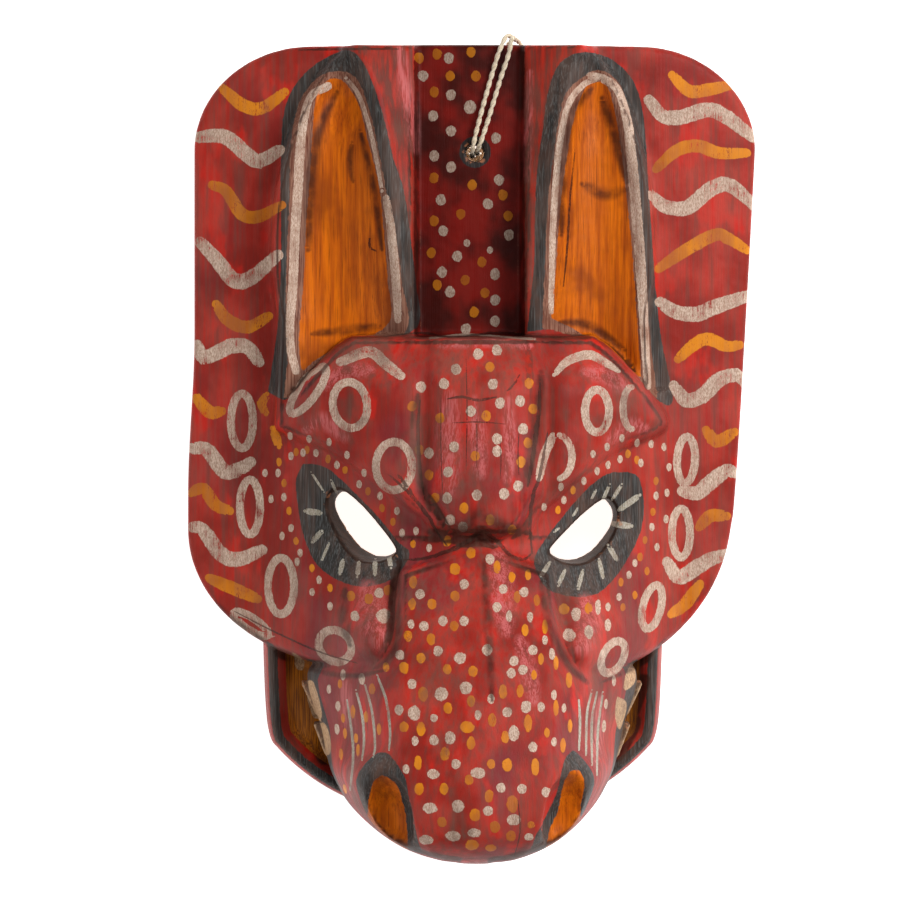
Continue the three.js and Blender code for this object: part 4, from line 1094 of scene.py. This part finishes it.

# Painted shade: soft dark strokes where shade falls, under the brow and the cheeks, in the ear dishes and the
# channel
shade_lines = []
for places, half in (
    ([(430, 532), (455, 532), (482, 518), (508, 530), (528, 532)], 9.0),
    ([(399, 560), (397, 600), (398, 640), (388, 660), (374, 669)], 5.0),
    ([(541, 582), (546, 612), (556, 642), (570, 667), (588, 683)], 5.0),
    ([(418, 395), (414, 430), (418, 470), (430, 510)], 6.0),
    ([(541, 372), (539, 400), (532, 455), (522, 500)], 7.0),
    ([(484, 560), (486, 600), (490, 650), (492, 700)], 4.5), ([(355, 338), (450, 337), (590, 338)], 4.5),
    ([(300, 668), (350, 676), (385, 670)], 3.0), ([(600, 683), (640, 664), (665, 640)], 3.0),
    ([(210, 600), (240, 625), (275, 648), (320, 664)], 4.0), ([(345, 590), (343, 620), (350, 645)], 7.0),
    ([(337, 92), (320, 128), (311, 180), (308, 250)], 6.0), ([(360, 130), (374, 190), (382, 250)], 4.0),
    ([(592, 88), (571, 118), (563, 170), (561, 235)], 6.0), ([(602, 98), (616, 140), (627, 182)], 6.0),
    ([(582, 184), (604, 194), (626, 190)], 6.0), ([(352, 142), (350, 165), (353, 182)], 3.5),
    ([(312, 334), (345, 330), (380, 326)], 5.0), ([(560, 322), (590, 326), (625, 350)], 5.0),
    ([(522, 45), (523, 140), (525, 300)], 6.0), ([(418, 60), (417, 180), (416, 320)], 4.0),
):
    shade_lines += stroke(places, half, 0.6)

# Painted highlights: pale pink strokes where the satin sheen catches the light on the crests of the face
highlight_lines = []
for places, half in (
    ([(400, 50), (405, 78), (411, 112), (415, 150)], 7.0), ([(450, 398), (448, 440), (450, 490)], 11.0),
    ([(474, 400), (478, 440), (480, 475)], 8.0), ([(508, 400), (510, 440), (508, 480)], 6.0),
    ([(368, 590), (374, 615), (380, 642)], 15.0), ([(498, 556), (502, 590), (506, 630)], 11.0),
    ([(585, 602), (590, 625), (582, 648)], 12.0), ([(345, 684), (347, 705), (350, 730)], 7.0),
    ([(520, 640), (528, 670), (534, 700)], 8.0), ([(322, 386), (345, 372), (370, 370)], 8.0),
    ([(585, 372), (608, 376), (628, 392)], 8.0), ([(440, 345), (490, 342), (530, 346)], 5.0),
    ([(600, 700), (598, 730), (596, 760)], 6.0), ([(530, 72), (528, 120), (527, 180)], 4.0),
    ([(610, 440), (630, 425), (645, 428)], 7.0), ([(306, 430), (322, 420), (345, 438)], 7.0),
):
    highlight_lines += stroke(places, half, 0.4)

# A mark is not carried over a step in the wood that is higher than this, in millimetres
panel_step, carved_step = 5.5, 9
paint_layers = {
    "highlight_line": highlight_lines, "shade_line": shade_lines, "white_line": white_lines, "amber_line": amber_lines,
    "white_dot": white_dots, "amber_dot": amber_dots, "grey_line": grey_lines, "crack_and_groove_shade_line": crack_and_groove_shade_lines,
}
for label, layer in paint_layers.items():
    lay_paint(label, layer, panel_step if label in ("white_line", "amber_line") else carved_step)


# Painted areas: each corner of the mesh gets its distance inside the area, in millimetres
def painted_area(places):
    outline = on_wood(places)
    outline[:, 2] = 0
    outline = smooth_route(np.vstack([outline, outline[:1]]), 1.5)
    return inside_distance(outline[:-1, :2], 10)


tooth_patches = [
    [(306, 682), (313, 681), (322, 715), (314, 718), (306, 693)],
    [(316, 725), (325, 723), (331, 745), (328, 756), (321, 743)],
    [(617, 696), (627, 704), (620, 730), (615, 715)],
    [(633, 662), (636, 680), (624, 691), (626, 674)],
    [(292, 652), (301, 658), (304, 670), (296, 668)],
]
tooth_paint = np.full(X.shape, -9.0)
for patch in tooth_patches:
    tooth_paint = np.maximum(tooth_paint, painted_area(patch))
eye_black = np.maximum(
    painted_area([(303, 464), (296, 480), (297, 500), (302, 530), (311, 555), (322, 570), (338, 580),
                  (355, 586), (372, 586), (390, 580), (400, 572), (410, 553), (398, 542), (385, 525),
                  (370, 508), (355, 493), (345, 483), (330, 470), (315, 464)]),
    painted_area([(615, 472), (632, 473), (640, 480), (644, 505), (641, 530), (630, 555), (617, 575),
                  (603, 590), (590, 596), (575, 597), (556, 593), (542, 583), (534, 560), (545, 540),
                  (560, 520), (575, 502), (590, 486), (605, 475)]))
nostril_black = np.maximum(
    painted_area([(359, 822), (353, 797), (353, 781), (368, 759), (384, 752), (395, 761), (405, 778),
                  (409, 797), (414, 821), (418, 840), (432, 862), (400, 862), (375, 845)]),
    painted_area([(577, 746), (566, 757), (561, 773), (558, 794), (547, 819), (534, 840), (518, 861),
                  (560, 856), (590, 830), (598, 800), (594, 772), (587, 755)]))
nostril_orange = np.maximum(
    painted_area([(384, 775), (396, 786), (401, 801), (406, 826), (411, 847), (397, 843), (384, 838),
                  (372, 826), (368, 809), (370, 794), (374, 781)]),
    painted_area([(569, 772), (579, 770), (585, 784), (583, 794), (580, 817), (579, 828), (557, 840),
                  (537, 848), (549, 836), (558, 817), (564, 786)]))


ear_rim = np.maximum(
    painted_area([(268, 392), (279, 303), (281, 225), (281, 152), (285, 108), (298, 81), (319, 62),
                  (343, 50), (360, 58), (373, 84), (384, 118), (393, 157), (404, 191), (411, 239),
                  (416, 283), (418, 326), (380, 345), (330, 372), (300, 400), (284, 400)]),
    painted_area([(527, 332), (534, 264), (535, 215), (537, 171), (543, 127), (549, 88), (561, 62),
                  (583, 52), (607, 57), (630, 76), (641, 103), (646, 142), (649, 191), (652, 239),
                  (656, 293), (662, 342), (673, 400), (660, 402), (640, 385), (600, 345), (560, 330)]))
ear_band = np.maximum(
    painted_area([(284, 398), (288, 346), (286, 298), (287, 249), (289, 205), (290, 161), (293, 127),
                  (300, 101), (314, 81), (331, 72), (348, 72), (360, 84), (370, 113), (378, 147), (387, 196),
                  (397, 244), (402, 283), (408, 326), (380, 350), (330, 380), (300, 405)]),
    painted_area([(542, 329), (544, 288), (546, 239), (549, 191), (555, 147), (559, 118), (566, 93),
                  (583, 77), (598, 70), (617, 81), (627, 103), (633, 142), (637, 191), (641, 239),
                  (646, 298), (651, 346), (657, 400), (640, 386), (600, 348), (560, 332)]))
ear_orange = np.maximum(
    painted_area([(302, 372), (299, 351), (300, 322), (304, 273), (306, 225), (310, 176), (313, 127),
                  (316, 98), (328, 80), (343, 81), (358, 103), (367, 137), (379, 186), (384, 234),
                  (388, 283), (391, 318), (375, 334), (348, 343), (319, 358)]),
    painted_area([(551, 318), (556, 264), (561, 200), (567, 157), (573, 122), (585, 88), (597, 82),
                  (607, 86), (615, 113), (622, 157), (627, 200), (632, 249), (636, 303), (639, 346),
                  (641, 383), (627, 368), (598, 343), (573, 329)]))
flank_inside = np.full(X.shape, below_all)
for ear in (left_ear, right_ear):
    out = ear["side"] * (X - ear_centre_at(ear, Y))
    here = (X * ear["side"] > ear["side"] * ear["flank"]) & (Y > ear_foot_y)
    flank = np.minimum(-out - ear_half_at(ear, Y), ear["side"] * (X - ear["flank"]))
    flank_inside = np.where(here, np.maximum(flank_inside, flank), flank_inside)
above_brow = np.where(brow_inside > -0.5, -np.abs(brow_inside) - 0.5, 3.0) * np.ones(X.shape)
above_brow = np.minimum(above_brow, Y - ear_foot_y)
ear_black = np.minimum(ear_rim, above_brow)
channel = np.minimum(np.minimum(X - left_ear["flank"] + 1, right_ear["flank"] + 1 - X), Y - 36)
channel = np.minimum(channel, above_brow + 1)
hole_halo = 5.6 - np.hypot(X - cord_hole_x, Y - cord_hole_y)
mouth_floor = np.minimum(np.minimum(jaw_inside - 8, 2 - lip_inside), 30.0)

area_maps = {
    "eye_black": eye_black, "nostril_black": nostril_black, "nostril_orange": nostril_orange,
    "ear_black": ear_black, "ear_orange": np.minimum(ear_orange, above_brow), "flank": flank_inside,
    "ear_band": np.minimum(ear_band, above_brow), "channel": channel, "hole_halo": hole_halo,
    "mouth_floor": mouth_floor, "panel_inside": panel_inside, "hollow": hollow_top,
    "hollow_half": hollow_half, "teeth": teeth_inside, "lip_inside": lip_inside, "jaw_inside": jaw_inside,
    "tooth_paint": tooth_paint,
}
x, y, z = corners.T
at_corner = {key: at_place(heights, x, y) for key, heights in area_maps.items()}
in_front = normals[:, 2] > -0.15
low = z < np.where(at_corner["lip_inside"] > 0, 24, 26)
in_mouth = low & (at_corner["panel_inside"] < 0.5)
reach = 3.0
cavity = np.clip((wood_at(corners + normals * reach) + reach) / reach, 0, 1)
edge_wear = np.clip((reach - wood_at(corners - normals * reach)) / reach, 0, 1)

nostril_gap = np.full(len(x), 99.0)
for side in (-1, 1):
    aside = x - snout_x - side * nostril_x
    gap = np.sqrt(aside**2 + ((y - nostril_y) * 0.75) ** 2 + (z - nostril_z) ** 2)
    nostril_gap = np.minimum(nostril_gap, gap - nostril_half)
nostril_limit = np.minimum(z - 66, 7.5 - nostril_gap)
eye_wall = eye_measure([at_place(level, x, y) for level in eye_inside], z)
lip_line_in, lip_line_out, lip_line_low, lip_line_high = 4.2, 2.5, 29.5, 45
jaw_line_start, jaw_line_end, jaw_line_low, jaw_line_high = 1.8, 5.4, 17, 27
lip_line = np.minimum(lip_line_in - at_corner["lip_inside"], at_corner["lip_inside"] + lip_line_out)
lip_line = np.minimum(lip_line, np.minimum(lip_line_high - z, z - lip_line_low))
jaw_line = np.minimum(at_corner["jaw_inside"] - jaw_line_start, jaw_line_end - at_corner["jaw_inside"])
jaw_line = np.minimum(jaw_line, np.minimum(z - jaw_line_low, jaw_line_high - z))
lips = np.where(at_corner["panel_inside"] < 1.5, np.maximum(lip_line, jaw_line), -9)
hole_wall = (np.hypot(x - cord_hole_x, y - cord_hole_y) < cord_hole_radius + 0.8) & (z > 19.5)
corner_values = {
    "black": np.where(in_front | hole_wall, np.maximum(
        np.maximum(at_corner["eye_black"], np.minimum(at_corner["nostril_black"], nostril_limit)),
        np.maximum(at_corner["ear_black"], at_corner["hole_halo"])), -9),
    "lips": lips,
    "orange": np.where(in_front, np.maximum(at_corner["ear_orange"],
                                            np.minimum(at_corner["nostril_orange"], nostril_limit)), -9),
    "ear_band": np.where(in_front, at_corner["ear_band"], -9),
    "eye_wall": eye_wall + 0.7,
    "flank": at_corner["flank"],
    "channel": at_corner["channel"],
    "mouth": np.where(in_mouth, at_corner["mouth_floor"], -9),
    "teeth": np.maximum(
        np.where((z > 23.5) & (z < 33) & (at_corner["panel_inside"] < 2), at_corner["teeth"] + 0.8, -9),
        np.where(in_front & (z > 17) & (z < 52), at_corner["tooth_paint"], -9)),
    "bare": np.where(hole_wall, -3, np.maximum(np.where(np.abs(x) < at_corner["hollow_half"] + 1,
                                               np.clip(at_corner["hollow"] + 1.6 - z, -3, 3), -3), 0.7 - z)),
    "cavity": cavity,
    "edge": edge_wear,
}
for label, values in corner_values.items():
    mask_mesh.attributes.new(label, "FLOAT", "POINT").data.foreach_set("value", values.astype(np.float32))


# The finish: red paint over the bare wood, colours laid on it with a brush, then a dark glaze wiped back so
# that it stays in the grain and the hollows, and satin varnish. Edges are rubbed down to the wood. Painted
# shade darkens the grooves and the channel, and painted highlights lighten the crests.
def stretched(tree, place, scale):
    return add_node(tree, "ShaderNodeVectorMath", {0: place, 1: scale}, operation="MULTIPLY").outputs[0]


def new_group(name, vectors, numbers, outputs):
    group = bpy.data.node_groups.new(name, "ShaderNodeTree")
    for label in vectors:
        group.interface.new_socket(label, in_out="INPUT", socket_type="NodeSocketVector")
    for label in numbers:
        group.interface.new_socket(label, in_out="INPUT", socket_type="NodeSocketFloat")
    for label in outputs:
        group.interface.new_socket(label, in_out="OUTPUT", socket_type="NodeSocketFloat")
    return group, group.nodes.new("NodeGroupInput").outputs, group.nodes.new("NodeGroupOutput").inputs


def use_group(tree, group, inputs):
    return add_node(tree, "ShaderNodeGroup", inputs, node_tree=group).outputs


# Grain that runs along the block. Each kind has its waves to a millimetre along x, y and z, its detail and
# its roughness.
grain_kinds = [
    ("Streaks", (0.55, 0.03, 0.55), 4, 0.55), ("Fine", (2.6, 0.07, 2.6), 3, 0.55),
    ("Pores", (3.4, 0.9, 3.4), 2, 0.7), ("Clouds", (0.055, 0.04, 0.055), 3, 0.55),
]
grain_group, given, result = new_group("wood_grain", ["Place"], [], [kind[0] for kind in grain_kinds])
for label, waves, detail, rough in grain_kinds:
    pattern = noise(grain_group, stretched(grain_group, given["Place"], waves), 1, detail, rough)
    grain_group.links.new(pattern, result[label])

# The hand's unevenness, the same for all marks of the brush: how far an edge wanders, and where paint has
# worn thin
hand_group, given, result = new_group("painters_hand", ["Place"], ["Pores", "Fine"], ["Wander", "Thinness"])
tree = hand_group
tree.links.new(calculate(tree, "SUBTRACT", noise(tree, given["Place"], 0.5, 4, 0.6), 0.5), result["Wander"])
thin = calculate(tree, "SUBTRACT", noise(tree, given["Place"], 0.16, 2), 0.5)
thin = calculate(tree, "MULTIPLY", thin, 0.5)
grain_share = calculate(tree, "ADD", calculate(tree, "MULTIPLY", given["Pores"], 0.6),
                        calculate(tree, "MULTIPLY", given["Fine"], 0.4))
tree.links.new(calculate(tree, "ADD", grain_share, thin), result["Thinness"])

# A mark of the brush: the distance from its middle in half widths gives its edge, which the grain makes
# ragged
mark_group, given, result = new_group("brush_mark", ["Mark"], ["Wander", "Thinness", "Ragged", "Worn"],
                                      ["Cover"])
tree = mark_group
radius = add_node(tree, "ShaderNodeVectorMath", {0: given["Mark"]}, operation="LENGTH").outputs["Value"]
radius = calculate(tree, "ADD", radius, calculate(tree, "MULTIPLY", given["Wander"], given["Ragged"]))
body = rise_between(tree, radius, 1.02, 0.88)
worn_at = calculate(tree, "ADD", calculate(tree, "MULTIPLY", given["Worn"], 0.34), 0.2)
kept = rise_between(tree, calculate(tree, "SUBTRACT", given["Thinness"], worn_at), -0.04, 0.1)
tree.links.new(calculate(tree, "MULTIPLY", body, kept, clamp=True), result["Cover"])

# A painted area: its edge wanders a little, as a hand-held brush leaves it
area_group, given, result = new_group("painted_area", [], ["Distance", "Wander", "Ragged"], ["Cover"])
tree = area_group
wandered = calculate(tree, "MULTIPLY", given["Wander"], given["Ragged"])
distance = calculate(tree, "ADD", given["Distance"], wandered)
tree.links.new(rise_between(tree, distance, -0.18, 0.18), result["Cover"])

painted = bpy.data.materials.new("painted_wood")
painted.use_nodes = True
tree = painted.node_tree
tree.nodes.clear()
place = place_in_millimetres(tree)
grain = use_group(tree, grain_group, {"Place": place})
streaks, fine, pores, clouds = grain["Streaks"], grain["Fine"], grain["Pores"], grain["Clouds"]
hand = use_group(tree, hand_group, {"Place": place, "Pores": pores, "Fine": fine})


def area(label, ragged=0.8):
    return use_group(tree, area_group, {"Distance": reading(tree, label), "Wander": hand["Wander"],
                                        "Ragged": ragged})["Cover"]


def brush_marks(label, ragged, worn):
    return use_group(tree, mark_group, {
        "Mark": reading(tree, label, "Vector"), "Wander": hand["Wander"], "Thinness": hand["Thinness"],
        "Ragged": ragged, "Worn": worn,
    })["Cover"]


def mark_radius(label):
    mark = reading(tree, label, "Vector")
    return add_node(tree, "ShaderNodeVectorMath", {0: mark}, operation="LENGTH").outputs["Value"]


red = lay_over(tree, rise_between(tree, clouds, 0.36, 0.66), tone(150, 32, 24), tone(192, 42, 32))
red = lay_over(tree, rise_between(tree, streaks, 0.42, 0.72, 0, 0.6), red, tone(104, 28, 26))
purple_place = stretched(tree, place, (0.03, 0.022, 0.03))
face_part = add_node(tree, "ShaderNodeSeparateXYZ", {0: place}).outputs[2]
face_part = rise_between(tree, face_part, 32, 44)
purple = rise_between(tree, noise(tree, purple_place, 1, 2), 0.48, 0.66, 0, 0.7)
purple = calculate(tree, "MULTIPLY", purple, rise_between(tree, face_part, 0, 1, 0.3, 1))
red = lay_over(tree, purple, red, tone(116, 40, 50))
bright_place = stretched(tree, place, (0.06, 0.03, 0.06))
bright = rise_between(tree, noise(tree, bright_place, 1.4, 3), 0.56, 0.66, 0, 0.75)
colour = lay_over(tree, bright, red, tone(210, 26, 14))
flank_red = lay_over(tree, rise_between(tree, streaks, 0.35, 0.65), tone(176, 36, 20), tone(106, 22, 16))
colour = lay_over(tree, area("flank"), colour, flank_red)
# The channel between the ears: a darker red, partly the paint and partly painted shade from the ears over it
channel_cover = area("channel", 1.5)
channel_red_and_shade = lay_over(tree, rise_between(tree, clouds, 0.4, 0.6), tone(66, 6, 3), tone(150, 18, 10))
colour = lay_over(tree, calculate(tree, "MULTIPLY", channel_cover, 0.92), colour, channel_red_and_shade)

ear_colour = lay_over(tree, rise_between(tree, streaks, 0.3, 0.7), tone(224, 112, 12), tone(176, 78, 6))
ear_colour = lay_over(tree, rise_between(tree, fine, 0.5, 0.72, 0, 0.5), ear_colour, tone(104, 46, 8))
ear_colour = lay_over(tree, rise_between(tree, clouds, 0.48, 0.68, 0, 0.65), ear_colour, tone(134, 56, 4))
black = lay_over(tree, rise_between(tree, fine, 0.45, 0.75), tone(40, 44, 44), tone(92, 98, 98))
colour = lay_over(tree, area("black"), colour, black)
# Painted shade: the walls of the eye holes are coloured near-black
colour = lay_over(tree, area("eye_wall", 0.2), colour, tone(22, 18, 16))
band = lay_over(tree, rise_between(tree, fine, 0.42, 0.6), tone(150, 106, 86), tone(98, 48, 34))
colour = lay_over(tree, area("ear_band", 1.4), colour, band)
colour = lay_over(tree, area("orange", 1.2), colour, ear_colour)
mouth_colour = lay_over(tree, rise_between(tree, fine, 0.35, 0.7), tone(214, 126, 12), tone(122, 66, 6))
mouth = area("mouth")
colour = lay_over(tree, mouth, colour, mouth_colour)
colour = lay_over(tree, area("lips", 0.9), colour, black)
teeth_colour = lay_over(tree, rise_between(tree, pores, 0.4, 0.65), tone(214, 178, 138), tone(150, 108, 74))
colour = lay_over(tree, area("teeth", 0.5), colour, teeth_colour)

off_white = lay_over(tree, rise_between(tree, pores, 0.38, 0.62), tone(230, 206, 186), tone(176, 142, 122))
amber = lay_over(tree, rise_between(tree, clouds, 0.35, 0.65), tone(228, 138, 20), tone(190, 98, 14))
white_line_cover = brush_marks("white_line", 0.4, 0.5)
white_dot_cover = brush_marks("white_dot", 0.6, 0.3)
amber_dot_cover = brush_marks("amber_dot", 0.6, 0.3)
# Painted highlight: pale pink along the highlight strokes, broken into streaks by the grain
painted_highlight = calculate(tree, "MULTIPLY", rise_between(tree, mark_radius("highlight_line"), 1.7, 0.3, 0, 0.75),
                rise_between(tree, calculate(tree, "ADD", fine, streaks), 1.12, 0.84, 0.1, 1.0))
colour = lay_over(tree, painted_highlight, colour, tone(212, 112, 112))
colour = lay_over(tree, brush_marks("amber_line", 0.35, 0.4), colour, amber)
colour = lay_over(tree, white_line_cover, colour, off_white)
colour = lay_over(tree, amber_dot_cover, colour, amber)
colour = lay_over(tree, white_dot_cover, colour, off_white)
grey = lay_over(tree, rise_between(tree, pores, 0.4, 0.62), tone(196, 190, 176), tone(140, 132, 112))
colour = lay_over(tree, brush_marks("grey_line", 0.5, 0.45), colour, grey)
# Cracks, and painted shade in the grooves between the forms, in a near-black brown
cracks_and_groove_shade = brush_marks("crack_and_groove_shade_line", 1.6, 0.45)
colour = lay_over(tree, calculate(tree, "MULTIPLY", cracks_and_groove_shade, 0.8), colour, tone(38, 16, 14))

shade = calculate(tree, "MULTIPLY", rise_between(tree, mark_radius("shade_line"), 1.6, 0.2, 0, 0.8),
                  rise_between(tree, noise(tree, place, 0.16, 3), 0.25, 0.6, 0.35, 1.0))
grime_place = stretched(tree, place, (0.07, 0.045, 0.07))
grime = rise_between(tree, noise(tree, grime_place, 1, 5, 0.6), 0.5, 0.7, 0, 0.5)
grime = calculate(tree, "MULTIPLY", grime, rise_between(tree, face_part, 0, 1, 0.35, 1))
# The dark glaze in the hollows and the grain, together with the painted shade of the shade strokes and the
# channel
glaze_and_painted_shade = rise_between(tree, reading(tree, "cavity"), 0.12, 0.5, 0, 0.85)
glaze_and_painted_shade = calculate(tree, "MAXIMUM", glaze_and_painted_shade, calculate(tree, "MAXIMUM", shade, grime))
glaze_and_painted_shade = calculate(tree, "MULTIPLY", glaze_and_painted_shade, rise_between(tree, mouth, 0, 1, 1, 0.35))
# Painted shade over the whole channel, its dots too
glaze_and_painted_shade = calculate(tree, "MAXIMUM", glaze_and_painted_shade, calculate(tree, "MULTIPLY", channel_cover, 0.5))
glaze_and_painted_shade = calculate(tree, "MAXIMUM", glaze_and_painted_shade, rise_between(tree, fine, 0.62, 0.82, 0, 0.35))
colour = lay_over(tree, glaze_and_painted_shade, colour, tone(36, 12, 8))
dust = rise_between(tree, calculate(tree, "ADD", clouds, streaks), 0.8, 1.25, 0.06, 0.26)
face_grime = calculate(tree, "MULTIPLY", grime, calculate(tree, "MULTIPLY", face_part, 0.3))
dust = calculate(tree, "ADD", dust, face_grime)
wiped_clean = rise_between(tree, calculate(tree, "ADD", channel_cover, area("orange")), 0, 1, 1, 0.1)
dust = calculate(tree, "MULTIPLY", dust, wiped_clean)
colour = lay_over(tree, dust, colour, tone(150, 112, 96))
rubbed = calculate(tree, "MULTIPLY", rise_between(tree, reading(tree, "edge"), 0.42, 0.75),
                   rise_between(tree, noise(tree, place, 0.22, 4, 0.65), 0.52, 0.62))
colour = lay_over(tree, calculate(tree, "MULTIPLY", rubbed, 0.7), colour, tone(206, 132, 92))

bare_wood = lay_over(tree, rise_between(tree, streaks, 0.35, 0.7), tone(188, 142, 92), tone(146, 98, 58))
bare_wood = lay_over(tree, rise_between(tree, fine, 0.5, 0.75, 0, 0.6), bare_wood, tone(108, 68, 38))
bare = rise_between(tree, reading(tree, "bare"), -0.6, 0.6)
colour = lay_over(tree, bare, colour, bare_wood)

covers = calculate(tree, "ADD", calculate(tree, "ADD", white_line_cover, white_dot_cover), amber_dot_cover)
height = calculate(tree, "MULTIPLY", fine, 0.35)
height = calculate(tree, "ADD", height, calculate(tree, "MULTIPLY", covers, 0.25))
height = calculate(tree, "ADD", height, calculate(tree, "MULTIPLY", noise(tree, place, 0.12, 2), 1.6))
height = calculate(tree, "SUBTRACT", height, calculate(tree, "MULTIPLY", cracks_and_groove_shade, 0.8))
bump_node = add_node(tree, "ShaderNodeBump", {"Strength": 0.45, "Distance": 0.0006, "Height": height})
surface = bump_node.outputs[0]
roughness = rise_between(tree, streaks, 0.3, 0.7, 0.38, 0.54)
roughness = calculate(tree, "ADD", roughness, calculate(tree, "MULTIPLY", bare, 0.3))
shader = add_node(tree, "ShaderNodeBsdfPrincipled", {
    "Base Color": colour, "Roughness": roughness, "Normal": surface, "Coat Weight": 0.015,
    "Coat Roughness": 0.3, "IOR": 1.45, "Specular IOR Level": 0.08,
})
add_node(tree, "ShaderNodeOutputMaterial", {"Surface": shader.outputs[0]})
mask_mesh.materials.append(painted)

# The floor: a plain pale sheet that the mask lies on. It glows a little, because the background of the
# photograph is evenly white.
floor_mesh = bpy.data.meshes.new("floor")
floor_mesh.from_pydata([(-3, -3, 0), (3, -3, 0), (3, 3, 0), (-3, 3, 0)], [], [(0, 1, 2, 3)])
floor = bpy.data.objects.new("floor", floor_mesh)
bpy.context.collection.objects.link(floor)
floor_material = bpy.data.materials.new("pale_floor")
floor_material.use_nodes = True
tree = floor_material.node_tree
tree.nodes.clear()
place = add_node(tree, "ShaderNodeTexCoord").outputs["Object"]
paper = rise_between(tree, noise(tree, place, 6, 2), 0.3, 0.7, 0.86, 0.9)
paper = add_node(tree, "ShaderNodeCombineColor", {0: paper, 1: paper, 2: paper}).outputs[0]
shader = add_node(tree, "ShaderNodeBsdfPrincipled", {"Base Color": paper, "Roughness": 0.9,
                  "Emission Color": (1, 1, 1, 1), "Emission Strength": 0.9})
add_node(tree, "ShaderNodeOutputMaterial", {"Surface": shader.outputs[0]})
floor_mesh.materials.append(floor_material)

# The lights: a large soft key from the upper right, a small light from above, a weaker wide one from the
# left and a pale room. Each has its name, place, width and power.
lights = [
    ("key_light", (1.25, 0.65, 1.2), 0.8, 30),
    ("top_light", (0.3, 0.6, 1.7), 0.35, 4),
    ("fill_light", (-1.4, -0.4, 1.1), 1.2, 10),
]
for name, place, size, power in lights:
    light_data = bpy.data.lights.new(name, "AREA")
    light_data.size = size
    light_data.energy = power
    light = bpy.data.objects.new(name, light_data)
    light.location = place
    light.rotation_euler = (-Vector(place)).to_track_quat("-Z", "Y").to_euler()
    bpy.context.collection.objects.link(light)
world = bpy.data.worlds.new("room")
world.use_nodes = True
world.node_tree.nodes["Background"].inputs["Color"].default_value = (1, 1, 1, 1)
world.node_tree.nodes["Background"].inputs["Strength"].default_value = 0.12
bpy.context.scene.world = world
bpy.context.scene.view_settings.view_transform = "Standard"
